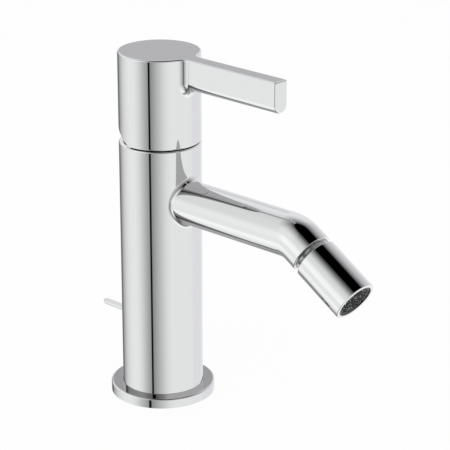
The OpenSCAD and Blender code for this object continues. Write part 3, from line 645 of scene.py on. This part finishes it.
def plug_skin(edge):
    """Plug of the screw's hole: rings about its middle, bent to the cap's outside and
    inside walls, with a rounded outer edge."""
    skin = Skin()
    angles = full_turn(ROD_STEPS)
    radii = np.concatenate([np.linspace(0, PLUG_R - edge, PLUG_RINGS), [PLUG_R]])

    def sheet(wall_r, sink):
        y, z = radii[:, None] * np.cos(angles), radii[:, None] * np.sin(angles)
        x = -np.sqrt(wall_r**2 - y**2) + sink[:, None]
        return joined(x, y, z + PLUG_Z), joined(x, y, 0.0) / wall_r

    sink = np.zeros(len(radii))
    sink[-1] = edge / 2
    outside, outward = sheet(COLUMN_R, sink)
    spokes = joined(0.0, np.cos(angles), np.sin(angles))
    skin.add(outside[:-1], outward[:-1])
    skin.add(outside[-2:], unit(outward[-2:] + spokes * [[[0.0]], [[1.0]]]))
    inside, inward = sheet(CAP_IN_R, np.zeros(len(radii)))
    skin.add(inside, -inward)
    skin.add(np.stack([outside[-1], inside[-1]]), spokes[None])
    return skin


# Turned pieces

# Steps round, and along the arcs of the ball, the hollow of its nut and the rod's dome
TURN_STEPS, ROD_STEPS = 144, 48
BALL_STEPS, SEAT_STEPS, DOME_STEPS = 24, 8, 8
RING_IN_R = 19.65
ROD_R, ROD_EDGE = 1.6, 0.1
# Ball joint: distances along the outlet from the bend point. The ball is cut flat behind
# its middle, its neck starts inside it, and its nut holds it in a hollow of SEAT_R.
BALL_S, BALL_R, BALL_BACK, BALL_BORE_R = 8.3, 8.6, 6.3, 3.6
NECK_R, NECK_END = 5.5, 21.1
SEAT_R, BALL_NUT_R, BALL_NUT_S, BALL_NUT_EDGE = 8.7, 9.5, 9.1, 0.15
# Profiles: radius, height and rounding of each corner
NUT_COVER = (
    (15.2, 136.7, 0), (16.2, 136.7, 0), (16.2, 139.3, 0.6), (15.0, 140.5, 0.6),
    (13.35, 140.5, 0.2), (13.35, 139.5, 0), (15.2, 138.9, 0),
)
NOZZLE = (
    (6.1, 14.5, 0.1), (11.25, 14.5, 0.35), (11.25, 43.93, 0.35), (9.45, 43.93, 0.15),
    (9.45, 29.5, 0), (8.45, 29.5, 0), (8.45, 17.5, 0), (5.55, 17.5, 0), (5.55, 15.0, 0),
    (6.1, 15.0, 0),
)


def arc_profile(middle, radius, start, end, steps, hollow=False):
    """Profile of a ball's skin: radius * sin a out from the axis and middle + radius *
    cos a along it, facing away from the middle or, in a hollow, towards it."""
    turns = np.linspace(start, end, steps + 1)
    out = joined(np.sin(turns), np.cos(turns))
    return radius * out + [0, middle], -out if hollow else out


def turned_pieces(edge):
    """CAD node, body, axis, steps round and profiles of each turned piece."""
    ahead, _ = heading(OUTLET_DROP)
    outlet = {"origin": BEND_POINT, "axis": ahead, "side": (0, 1, 0)}
    rod = {"origin": (0, 0, ROD_Z), "axis": (-1, 0, 0), "side": (0, 1, 0)}
    ring = (
        (RING_IN_R, 0, 0), (RING_R, 0, 0), (RING_R, RING_TOP, edge),
        (RING_IN_R, RING_TOP, 0),
    )
    ball = arc_profile(
        BALL_S, BALL_R, math.acos(-BALL_BACK / BALL_R), math.asin(NECK_R / BALL_R),
        BALL_STEPS)
    ball_start, ball_end = ball[0][0], ball[0][-1]
    seat = arc_profile(
        BALL_S, SEAT_R, math.acos((SPOUT_END - BALL_S) / SEAT_R),
        math.acos((BALL_NUT_S - BALL_S) / SEAT_R), SEAT_STEPS, hollow=True)
    seat_start, seat_end = seat[0][0], seat[0][-1]
    dome_s = -ROD_END - ROD_R
    return {
        "ring_skin": ("base_ring", "mixer", {}, TURN_STEPS, [
            rounded_profile(ring, closed=True)]),
        "nut_cover_skin": ("nut_cover", "mixer", {}, TURN_STEPS, [
            rounded_profile(NUT_COVER, closed=True)]),
        "nozzle_skin": ("nozzle_barrel", "nozzle", outlet, TURN_STEPS, [
            rounded_profile(NOZZLE, closed=True)]),
        "ball_skin": ("swivel_ball", "nozzle", outlet, TURN_STEPS, [
            ball,
            rounded_profile([
                (NECK_R, ball_end[1], 0), (NECK_R, NECK_END, 0),
                (BALL_BORE_R, NECK_END, 0), (BALL_BORE_R, ball_start[1], 0),
                (*ball_start, 0),
            ])]),
        "ball_nut_skin": ("ball_nut", "mixer", outlet, TURN_STEPS, [
            seat,
            rounded_profile([
                (*seat_end, 0), (BALL_NUT_R, BALL_NUT_S, 0),
                (BALL_NUT_R, SPOUT_END, BALL_NUT_EDGE), (*seat_start, 0),
            ])]),
        "rod_skin": ("knob_rod", "lift_rod", rod, ROD_STEPS, [
            arc_profile(dome_s, ROD_R, 0, math.pi / 2, DOME_STEPS),
            rounded_profile([
                (0, -ROD_START, 0), (ROD_R, -ROD_START, ROD_EDGE), (ROD_R, dome_s, 0),
            ])]),
    }


# Shader nodes


def add_node(tree, kind, given=None, **settings):
    """Adds a node with its settings, and gives its inputs values or links."""
    node = tree.nodes.new(kind)
    for name, value in settings.items():
        setattr(node, name, value)
    for name, value in (given or {}).items():
        if isinstance(value, bpy.types.NodeSocket):
            tree.links.new(value, node.inputs[name])
        else:
            node.inputs[name].default_value = value
    return node


def math_node(tree, operation, *given):
    """Math of sockets or numbers."""
    node = add_node(tree, "ShaderNodeMath", dict(enumerate(given)), operation=operation)
    return node.outputs[0]


def mix_node(tree, share, first, second, blend_type="MIX"):
    """Mix of two colours."""
    given = {"Factor": share, "A": first, "B": second}
    node = add_node(
        tree, "ShaderNodeMix", given, data_type="RGBA", blend_type=blend_type)
    return node.outputs["Result"]


def ramp_node(tree, stops, given, low, high):
    """Ramp of greys or colours, given over a range of degrees."""
    node = add_node(tree, "ShaderNodeValToRGB", {"Fac": given})
    elements = node.color_ramp.elements
    while len(elements) > 1:
        elements.remove(elements[-1])
    for i, (degrees, colour) in enumerate(stops):
        position = (degrees - low) / (high - low)
        stop = elements.new(position) if i else elements[0]
        stop.position = position
        stop.color = (*np.broadcast_to(colour, 3), 1)
    return node.outputs["Color"]


def angle_from(tree, vector, bearing, rise):
    """Angle between a direction and one given by its bearing and height in degrees, as a
    share of a right angle: the arc cosine of their dot product."""
    bearing, rise = math.radians(bearing), math.radians(rise)
    flat = math.cos(rise)
    middle = (flat * math.cos(bearing), flat * math.sin(bearing), math.sin(rise))
    dot = add_node(
        tree, "ShaderNodeVectorMath", {0: vector, 1: middle}, operation="DOT_PRODUCT")
    angle = math_node(tree, "ARCCOSINE", dot.outputs["Value"])
    return math_node(tree, "DIVIDE", angle, math.pi / 2)


def within(tree, given, middle, half, fade):
    """Share that is 1 inside a range about its middle and fades to 0 beyond it."""
    away = math_node(tree, "ABSOLUTE", math_node(tree, "SUBTRACT", given, middle))
    share = add_node(tree, "ShaderNodeMapRange", {
        "Value": away, "From Min": half + fade, "From Max": half})
    return share.outputs["Result"]


# Materials

# Finishes: colour, second colour, metallic, lowest and highest roughness, scales of the
# fine and the broad grain, and height of the relief in millimetres
FINISHES = {
    "chrome": (
        (0.90, 0.90, 0.91), (0.88, 0.885, 0.90), 1.0, 0.006, 0.018, 3000, 45, 0.0),
    # Chrome of the ball joint, dull and darkened with random black mottles: painted shade
    # in the gap between spout and nozzle
    "painted_gap_shade": (
        (0.95, 0.95, 0.96), (0.05, 0.05, 0.06), 1.0, 0.08, 0.3, 1500, 420, 0.03),
    "brass": ((0.80, 0.60, 0.28), (0.70, 0.50, 0.22), 1.0, 0.22, 0.38, 2500, 80, 0.01),
    "copper": ((0.86, 0.48, 0.32), (0.72, 0.36, 0.22), 1.0, 0.25, 0.4, 2500, 70, 0.01),
    "steel": ((0.60, 0.61, 0.62), (0.50, 0.51, 0.53), 1.0, 0.25, 0.4, 2500, 90, 0.01),
    "rubber": (
        (0.030, 0.030, 0.031), (0.045, 0.045, 0.046), 0.0, 0.6, 0.8, 2200, 120, 0.02),
    "ceramic": (
        (0.86, 0.85, 0.81), (0.78, 0.77, 0.74), 0.0, 0.15, 0.25, 3000, 100, 0.004),
    "grey_plastic": (
        (0.36, 0.37, 0.38), (0.30, 0.31, 0.33), 0.0, 0.4, 0.55, 1800, 90, 0.012),
    "white_plastic": (
        (0.80, 0.80, 0.77), (0.74, 0.74, 0.71), 0.0, 0.35, 0.5, 1800, 90, 0.012),
    "grille": (
        (0.006, 0.006, 0.007), (0.02, 0.02, 0.022), 0.0, 0.3, 0.5, 900, 400, 0.01),
    "black_plastic": (
        (0.006, 0.006, 0.007), (0.012, 0.012, 0.014), 0.0, 0.12, 0.3, 1800, 90, 0.01),
}
# CAD nodes of each finish
LOOKS = {
    "chrome": (
        "body base_ring nut_cover handle screw_cover ball_nut swivel_ball nozzle_barrel "
        "knob_rod"),
    "brass": "foot stem cartridge_nut neck_nut pull_rod rod_block",
    "copper": "hot_inlet_tube cold_inlet_tube",
    "steel": "stem_pin handle_screw block_screw",
    "rubber": "base_gasket tube_seals port_seals ball_seal neck_seal aerator_seal",
    "ceramic": "fixed_disc moving_disc",
    "grey_plastic": "disc_carrier cartridge_housing",
    "white_plastic": "cartridge_base rotor ball_seat slip_ring rod_guide",
    "black_plastic": "aerator_housing flow_disc",
    "grille": "outlet_grille",
}
GRAIN_DETAIL = {"Fine": 2.0, "Broad": 3.0}
# Part of the broad grain's range that spans the roughness
GRAIN_SPAN = (0.3, 0.7)
BUMP_STRENGTH = 0.6
# Second colour and highest roughness of the chrome as shares of those in the panel
SECOND_SHARE, ROUGH_SHARE = 0.985, 2.5
# Painted shade inside the column and the cap: a dark, dull colour nearer the axis and
# lower than these
INSIDE_SHADE_COLOUR = (0.10, 0.095, 0.09, 1)
INSIDE_SHADE_ROUGHNESS = 0.6
INSIDE_SHADE_R, INSIDE_SHADE_TOP = CAP_IN_R + 0.05, CAP_ROOF + 0.1
# Grille: dull, with painted glints, pale spots of colour where the fine grain is above a
# level
GRILLE_SHEEN = 0.12
GLINT_LEVEL = 0.63
PAINTED_GLINT_COLOUR = (0.8, 0.8, 0.8, 1)


def surface_grain():
    """Node group of fine grain and broad clouding over a surface."""
    group = bpy.data.node_groups.new("surface_grain", "ShaderNodeTree")
    add = group.interface.new_socket
    add(name="Vector", in_out="INPUT", socket_type="NodeSocketVector")
    for name in GRAIN_DETAIL:
        add(name=name + " scale", in_out="INPUT", socket_type="NodeSocketFloat")
        add(name=name, in_out="OUTPUT", socket_type="NodeSocketFloat")
    given = add_node(group, "NodeGroupInput").outputs
    out = add_node(group, "NodeGroupOutput").inputs
    for name, detail in GRAIN_DETAIL.items():
        noise = add_node(group, "ShaderNodeTexNoise", {
            "Vector": given["Vector"], "Scale": given[name + " scale"], "Detail": detail})
        group.links.new(noise.outputs["Fac"], out[name])
    return group


def paint_inside_shade(tree, where, colour, roughness):
    """Paints shade inside the column and the cap: a dark, dull colour over a mask of the
    places near the axis and below the cap's roof."""
    split = add_node(tree, "ShaderNodeSeparateXYZ", {0: where}).outputs
    flat = add_node(tree, "ShaderNodeCombineXYZ", {"X": split["X"], "Y": split["Y"]})
    reach = add_node(
        tree, "ShaderNodeVectorMath", {0: flat.outputs["Vector"]}, operation="LENGTH")
    near = math_node(tree, "LESS_THAN", reach.outputs["Value"], INSIDE_SHADE_R * MM)
    under = math_node(tree, "LESS_THAN", split["Z"], INSIDE_SHADE_TOP * MM)
    mask = math_node(tree, "MULTIPLY", near, under)
    dull = add_node(
        tree, "ShaderNodeMix", {"Factor": mask, "A": roughness, "B": INSIDE_SHADE_ROUGHNESS})
    return mix_node(tree, mask, colour, INSIDE_SHADE_COLOUR), dull.outputs["Result"]


def finish_material(name):
    """Principled material whose colour, roughness and relief vary with the grain, made
    once. The chrome takes its colour and roughness from the panel."""
    found = bpy.data.materials.get(name + "_finish")
    if found:
        return found
    grain = bpy.data.node_groups.get("surface_grain") or surface_grain()
    first, second, metallic, low, high, fine, broad, height = FINISHES[name]
    if name == "chrome":
        look = bpy.context.scene.mixer_chrome
        first, second = tuple(look.colour), tuple(SECOND_SHARE * c for c in look.colour)
        low, high = look.gloss, ROUGH_SHARE * look.gloss
    material = bpy.data.materials.new(name + "_finish")
    material.use_nodes = True
    tree = material.node_tree
    where = add_node(tree, "ShaderNodeTexCoord").outputs["Object"]
    group = add_node(tree, "ShaderNodeGroup", {
        "Vector": where, "Fine scale": fine, "Broad scale": broad}, node_tree=grain)
    grey = group.outputs
    tone = mix_node(tree, grey["Broad"], (*first, 1), (*second, 1))
    rough = add_node(tree, "ShaderNodeMapRange", {
        "Value": grey["Broad"], "From Min": GRAIN_SPAN[0], "From Max": GRAIN_SPAN[1],
        "To Min": low, "To Max": high}).outputs["Result"]
    shader = tree.nodes["Principled BSDF"].inputs
    shader["Metallic"].default_value = metallic
    # Chrome inside the column and under the cap gets painted shade, a dark dull colour
    if name == "chrome":
        tone, rough = paint_inside_shade(tree, where, tone, rough)
    if name == "grille":
        shader["Specular IOR Level"].default_value = GRILLE_SHEEN
        # Painted glints: pale colour where the fine grain passes the level
        painted_glint = math_node(tree, "GREATER_THAN", grey["Fine"], GLINT_LEVEL)
        tone = mix_node(tree, painted_glint, tone, PAINTED_GLINT_COLOUR)
    tree.links.new(tone, shader["Base Color"])
    tree.links.new(rough, shader["Roughness"])
    if height:
        bump = add_node(tree, "ShaderNodeBump", {
            "Height": grey["Fine"], "Distance": height * MM, "Strength": BUMP_STRENGTH})
        tree.links.new(bump.outputs["Normal"], shader["Normal"])
    return material


# Stage

CAMERA_AZIMUTH = math.radians(46.58)
CAMERA_RISE = math.radians(20.34)
CAMERA_DISTANCE = 991.6
CAMERA_SHIFT = 32.69
CAMERA_HEIGHT = 91.13
LENS, SENSOR = 154.47, 36
CLIP = (0.05, 20)
FLOOR_HALF = 4.0
FLOOR_COLOUR = (0.97, 0.97, 0.97, 1)
# Share of white in what the camera sees of the floor; the rest keeps the shadow
FLOOR_WHITE = 0.95
LAMP_PLACE, LAMP_AIM = (0.5, -0.9, 1.1), (0.03, 0.0, 0.09)
LAMP_SIZE = 1.2

# What the chrome sees low down, by the direction's angle from the camera's side, in
# degrees to the right of the picture: a pale room with a narrow black strip on the left
# of the middle and a dark far corner on the left.
LOW_ROOM = (
    (-180, 0.50), (-168, 0.38), (-158, 0.17), (-150, 0.15), (-141, 0.38), (-130, 0.54),
    (-120, 0.68), (-108, 0.79), (-92, 0.87), (-74, 0.87), (-60, 0.75), (-48, 0.57),
    (-40, 0.45), (-33, 0.36), (-31, 0.33), (-30.3, 0.0), (-25.4, 0.0), (-24.8, 0.27),
    (-18, 0.35), (-8, 0.48), (4, 0.63), (16, 0.77), (30, 0.85), (80, 0.85), (98, 0.84),
    (102, 0.80), (140, 0.79), (160, 0.86), (172, 0.92), (178, 0.62),
)
# The same about level, and the same higher up
LEVEL_ROOM = (
    (-180, 0.80), (-168, 0.70), (-158, 0.36), (-148, 0.24), (-135, 0.50), (-115, 0.80),
    (-98, 0.87), (-88, 0.87), (-80, 0.93), (-73, 1.05), (-62, 1.0), (-46, 0.82),
    (-33, 0.50), (-20, 0.42), (0, 0.46), (30, 0.50), (90, 0.64), (120, 0.74),
    (150, 0.78), (166, 0.80), (180, 0.80),
)
HIGH_ROOM = (
    (-180, 0.84), (-150, 0.84), (-138, 0.82), (-120, 0.82), (-109, 0.80), (-100, 0.76),
    (-90, 0.76), (-80, 0.84), (-60, 0.84), (-50, 0.78), (-42, 0.70), (-36, 0.58),
    (-28, 0.40), (-10, 0.33), (60, 0.33), (90, 0.42), (110, 0.56), (130, 0.58),
    (142, 0.60), (156, 0.80), (168, 0.84), (180, 0.84),
)
# Heights in degrees over which one room passes into the next
LEVEL_BLEND, HIGH_BLEND = (-14, -5), (8, 22)
# Share of that left towards the floor, by the height in degrees
FLOOR_FADE = (
    (-90, 0.20), (-72, 0.25), (-62, 0.50), (-54, 0.95), (-49, 1.15), (-44, 1.15),
    (-38, 1.20), (-29, 1.17), (-26, 1.0),
)
# Round black card overhead: its middle, and the share left by the angle from there
ROOF_CARD = (46, 80)
ROOF_FADE = (
    (20.5, 0.0), (22, 0.07), (25, 0.17), (31, 0.38), (36, 0.52), (42, 0.68), (49, 0.85),
    (58, 1.0),
)
# Grey patches on the far wall that the level faces mirror: middle and half width by the
# bearing from behind, middle and half height, and the shade
GREY_PATCHES = ((0.3, 3.6, 15.5, 1.3, 0.49), (2.0, 2.7, 25.0, 1.0, 0.365))
# Degrees over which they fade out, and their blue as a share of the shade
PATCH_FADE, PATCH_BLUE = 0.5, 1.02
# What chrome shows of the room in other chrome, by the bearing alone, from the mirroring
# after the first on
TWICE_DEPTH = 1.5
TWICE_ROOM = (
    (-180, 0.45), (-140, 0.42), (-134, 0.05), (-129, 0.05), (-120, 0.17), (-110, 0.24),
    (-80, 0.28), (-60, 0.28), (-51, 0.24), (-42, 0.17), (-30, 0.13), (-29, 0), (-20, 0),
    (-19, 0.09), (-14, 0.12), (-5, 0.18), (4, 0.24), (13, 0.40), (23, 0.44), (180, 0.45),
)
# Middle and half of the range of heights that upright faces show in one another, where
# the room stays as it is
UPRIGHT_HEIGHTS = (-16, 9)
# Tint of the room: faintly green in the middle, faintly blue on the right
TINTS = (
    (-180, (0.985, 0.992, 1.01)), (-160, (0.985, 1.0, 0.995)), (96, (0.985, 1.0, 0.992)),
    (100, (0.985, 0.992, 1.01)), (180, (0.985, 0.992, 1.01)),
)


def room_angles(tree):
    """Direction turned to the camera's side, its bearing as a share of a turn, with the
    camera at 0.5, and its height as a share of a right angle."""
    where = add_node(tree, "ShaderNodeTexCoord").outputs["Generated"]
    direction = add_node(
        tree, "ShaderNodeVectorRotate", {"Vector": where, "Angle": CAMERA_AZIMUTH},
        rotation_type="Z_AXIS").outputs["Vector"]
    split = add_node(tree, "ShaderNodeSeparateXYZ", {0: direction}).outputs
    bearing = math_node(tree, "ARCTAN2", split["Y"], split["X"])
    bearing = math_node(tree, "ADD", math_node(tree, "DIVIDE", bearing, 2 * math.pi), 0.5)
    height = math_node(tree, "ARCSINE", split["Z"])
    return direction, bearing, math_node(tree, "DIVIDE", height, math.pi / 2)


def chrome_room(tree, direction, bearing, height):
    """Room that chrome sees: the low, level and high rooms blended by height, times the
    fades to the floor and the overhead card and the tint, and the grey patches on it."""
    room = ramp_node(tree, LOW_ROOM, bearing, -180, 180)
    for stops, (start, end) in ((LEVEL_ROOM, LEVEL_BLEND), (HIGH_ROOM, HIGH_BLEND)):
        rise = add_node(
            tree, "ShaderNodeMapRange",
            {"Value": height, "From Min": start / 90, "From Max": end / 90},
            interpolation_type="SMOOTHSTEP").outputs["Result"]
        room = mix_node(tree, rise, room, ramp_node(tree, stops, bearing, -180, 180))
    below = math_node(tree, "ADD", height, 1.0)
    from_card = angle_from(tree, direction, *ROOF_CARD)
    for stops, given, low, high in (
        (FLOOR_FADE, below, -90, 0), (ROOF_FADE, from_card, 0, 90),
        (TINTS, bearing, -180, 180),
    ):
        fade = ramp_node(tree, stops, given, low, high)
        room = mix_node(tree, 1.0, room, fade, "MULTIPLY")
    behind = math_node(tree, "FRACT", math_node(tree, "ADD", bearing, 0.5))
    for side, across, rise, tall, shade in GREY_PATCHES:
        share = math_node(
            tree, "MULTIPLY",
            within(tree, behind, 0.5 + side / 360, across / 360, PATCH_FADE / 360),
            within(tree, height, rise / 90, tall / 90, PATCH_FADE / 90))
        room = mix_node(tree, share, room, (shade, shade, PATCH_BLUE * shade, 1))
    return room


def room_light(strength):
    """World: white to the camera, the room to chrome, and plain light to the rest."""
    world = bpy.data.worlds.new("studio")
    bpy.context.scene.world = world
    world.use_nodes = True
    tree = world.node_tree
    tree.nodes.clear()
    direction, bearing, height = room_angles(tree)
    room = chrome_room(tree, direction, bearing, height)
    path = add_node(tree, "ShaderNodeLightPath").outputs
    twice = math_node(tree, "GREATER_THAN", path["Glossy Depth"], TWICE_DEPTH)
    middle, half = UPRIGHT_HEIGHTS
    upright = within(tree, height, middle / 90, half / 90, PATCH_FADE / 90)
    twice = math_node(tree, "MULTIPLY", twice, math_node(tree, "SUBTRACT", 1.0, upright))
    room = mix_node(tree, twice, room, ramp_node(tree, TWICE_ROOM, bearing, -180, 180))
    light = add_node(tree, "ShaderNodeBackground", {"Strength": strength}).outputs[0]
    for ray, colour in (("Is Glossy Ray", room), ("Is Camera Ray", (1, 1, 1, 1))):
        shown = add_node(tree, "ShaderNodeBackground", {"Color": colour}).outputs[0]
        light = add_node(
            tree, "ShaderNodeMixShader", {0: path[ray], 1: light, 2: shown}).outputs[0]
    add_node(tree, "ShaderNodeOutputWorld", {"Surface": light})


def make_floor():
    """Wide pale floor that keeps a soft shadow and runs out into the white."""
    mesh = bpy.data.meshes.new("floor")
    corners = [(-1, -1), (1, -1), (1, 1), (-1, 1)]
    mesh.from_pydata(
        [(FLOOR_HALF * x, FLOOR_HALF * y, 0) for x, y in corners], [], [(0, 1, 2, 3)])
    floor = new_object("floor", mesh)
    material = bpy.data.materials.new("floor_paper")
    material.use_nodes = True
    tree = material.node_tree
    tree.nodes.clear()
    paper = add_node(tree, "ShaderNodeBsdfDiffuse", {"Color": FLOOR_COLOUR})
    glow = add_node(tree, "ShaderNodeEmission", {"Color": (1, 1, 1, 1)})
    path = add_node(tree, "ShaderNodeLightPath")
    share = math_node(tree, "MULTIPLY", path.outputs["Is Camera Ray"], FLOOR_WHITE)
    mix = add_node(
        tree, "ShaderNodeMixShader", {0: share, 1: paper.outputs[0], 2: glow.outputs[0]})
    add_node(tree, "ShaderNodeOutputMaterial", {"Surface": mix.outputs[0]})
    mesh.materials.append(material)
    floor.visible_glossy = False


def make_lamp(power):
    """Soft square lamp aimed at the mixer, which the chrome doesn't mirror."""
    light = bpy.data.lights.new("soft_lamp", "AREA")
    light.size = LAMP_SIZE
    light.energy = power
    lamp = new_object("soft_lamp", light)
    lamp.location = LAMP_PLACE
    aim = Vector(LAMP_AIM) - Vector(LAMP_PLACE)
    lamp.rotation_euler = aim.to_track_quat("-Z", "Y").to_euler()
    lamp.visible_glossy = False


def make_camera():
    """Camera at the photograph's angle, aimed right of the column and above its foot."""
    across, along = math.sin(CAMERA_AZIMUTH), math.cos(CAMERA_AZIMUTH)
    flat = math.cos(CAMERA_RISE)
    back = Vector((flat * along, -flat * across, math.sin(CAMERA_RISE)))
    right = Vector((across, along, 0))
    up = back.cross(right)
    target = right * CAMERA_SHIFT * MM + Vector((0, 0, CAMERA_HEIGHT * MM))
    data = bpy.data.cameras.new("camera")
    data.lens, data.sensor_width = LENS, SENSOR
    data.clip_start, data.clip_end = CLIP
    camera = new_object("camera", data)
    turn = Matrix((right, up, back)).transposed().to_4x4()
    place = target + back * CAMERA_DISTANCE * MM
    camera.matrix_world = Matrix.Translation(place) @ turn
    bpy.context.scene.camera = camera


# Add-on


class MixerChrome(bpy.types.PropertyGroup):
    """Look of the chrome."""

    colour: bpy.props.FloatVectorProperty(
        name="Chrome colour", description="Colour of the polished chrome",
        subtype="COLOR", size=3, min=0, max=1, default=FINISHES["chrome"][0])
    gloss: bpy.props.FloatProperty(
        name="Roughness", description="Lowest roughness of the chrome",
        subtype="FACTOR", min=0, max=1, default=FINISHES["chrome"][3])
    edge: bpy.props.FloatProperty(
        name="Edge rounding", min=0.05, max=1, default=0.8,
        description="Radius of the chrome pieces' edges, in millimetres")


class MixerRoots(bpy.types.PropertyGroup):
    """Fillets where the spout and the lever leave the column and the cap."""

    spout: bpy.props.FloatProperty(
        name="Spout fillet", description="Radius of the spout's fillet, in millimetres",
        min=1.5, max=4, default=2.8)
    lever: bpy.props.FloatProperty(
        name="Lever fillet", description="Radius of the lever's fillet, in millimetres",
        min=3, max=6, default=5)


class MixerStage(bpy.types.PropertyGroup):
    """Light around the mixer."""

    room: bpy.props.FloatProperty(
        name="Room light", description="Strength of the plain light from all sides",
        min=0, max=2, default=0.9)
    lamp: bpy.props.FloatProperty(
        name="Lamp", description="Power of the soft lamp above", subtype="POWER",
        unit="POWER", min=0, max=50, default=5.0)


def make_piece(skin, name, body, node, look="chrome"):
    """Builds a skin as a piece that rides on its body in place of its CAD node."""
    piece = skin.build(name)
    piece.data.materials.append(finish_material(look))
    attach(piece, body)
    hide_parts(node)
    return piece


class MIXER_OT_column(bpy.types.Operator):
    """Builds the column with its spout"""

    bl_idname = "mixer.column"
    bl_label = "Column and spout"

    def execute(self, context):
        scene = context.scene
        skin = column_skin(scene.mixer_chrome.edge, scene.mixer_roots.spout)
        make_piece(skin, "column_skin", "mixer", "body")
        return {"FINISHED"}


class MIXER_OT_handle(bpy.types.Operator):
    """Builds the cap with its lever, and the plug of its screw's hole"""

    bl_idname = "mixer.handle"
    bl_label = "Cap and lever"

    def execute(self, context):
        scene = context.scene
        edge = scene.mixer_chrome.edge
        skin = cap_skin(edge, scene.mixer_roots.lever)
        make_piece(skin, "handle_skin", "lever", "handle")
        make_piece(plug_skin(edge / 2), "plug_skin", "lever", "screw_cover")
        return {"FINISHED"}


class MIXER_OT_turned(bpy.types.Operator):
    """Builds the round pieces: base ring, nut's cover, ball and its nut, nozzle, rod"""

    bl_idname = "mixer.turned"
    bl_label = "Turned pieces"

    def execute(self, context):
        pieces = turned_pieces(context.scene.mixer_chrome.edge)
        for name, (node, body, place, steps, profiles) in pieces.items():
            skin = Skin()
            for profile in profiles:
                turned(skin, profile, full_turn(steps), **place)
            # The ball and its nut take the dark mottled finish, painted shade in the
            # joint's gap
            look = "painted_gap_shade" if node in ("ball_nut", "swivel_ball") else "chrome"
            piece = make_piece(skin, name, body, node, look)
            # The column's foot would mirror the ring as a dark band
            piece.visible_glossy = name != "ring_skin"
        return {"FINISHED"}


class MIXER_OT_finishes(bpy.types.Operator):
    """Gives every remaining CAD part the finish of its slot"""

    bl_idname = "mixer.finishes"
    bl_label = "Finishes"

    def execute(self, context):
        looks = {name: look for look, names in LOOKS.items() for name in names.split()}
        for name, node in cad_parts.items():
            for place in node.material_slots:
                place.material = finish_material(looks[name])
        return {"FINISHED"}


class MIXER_OT_stage(bpy.types.Operator):
    """Makes the floor, the light and the camera"""

    bl_idname = "mixer.stage"
    bl_label = "Stage"

    def execute(self, context):
        look = context.scene.mixer_stage
        context.scene.view_settings.view_transform = "Standard"
        make_camera()
        make_floor()
        room_light(look.room)
        make_lamp(look.lamp)
        return {"FINISHED"}


STEPS = ("column", "handle", "turned", "finishes", "stage")


class MIXER_PT_panel(bpy.types.Panel):
    """Lists the steps and the sizes and colours that they use"""

    bl_idname = "MIXER_PT_panel"
    bl_label = "Bidet mixer"
    bl_space_type = "VIEW_3D"
    bl_region_type = "UI"
    bl_category = "Mixer"

    def draw(self, context):
        scene = context.scene
        for step in STEPS:
            self.layout.operator("mixer." + step)
        for group in (scene.mixer_chrome, scene.mixer_roots, scene.mixer_stage):
            for name in group.bl_rna.properties.keys():
                if name not in ("rna_type", "name"):
                    self.layout.prop(group, name)


CLASSES = (
    MixerChrome, MixerRoots, MixerStage, MIXER_OT_column, MIXER_OT_handle,
    MIXER_OT_turned, MIXER_OT_finishes, MIXER_OT_stage, MIXER_PT_panel,
)
GROUPS = {
    "mixer_chrome": MixerChrome, "mixer_roots": MixerRoots, "mixer_stage": MixerStage,
}


def register():
    """Registers the classes and puts the property groups on the scene."""
    for made in CLASSES:
        bpy.utils.register_class(made)
    for name, group in GROUPS.items():
        setattr(bpy.types.Scene, name, bpy.props.PointerProperty(type=group))


def unregister():
    """Takes the property groups and the classes away again."""
    for name in GROUPS:
        delattr(bpy.types.Scene, name)
    for made in reversed(CLASSES):
        bpy.utils.unregister_class(made)


def main():
    """Runs every step."""
    register()
    for step in STEPS:
        getattr(bpy.ops.mixer, step)()


if __name__ == "__main__":
    main()
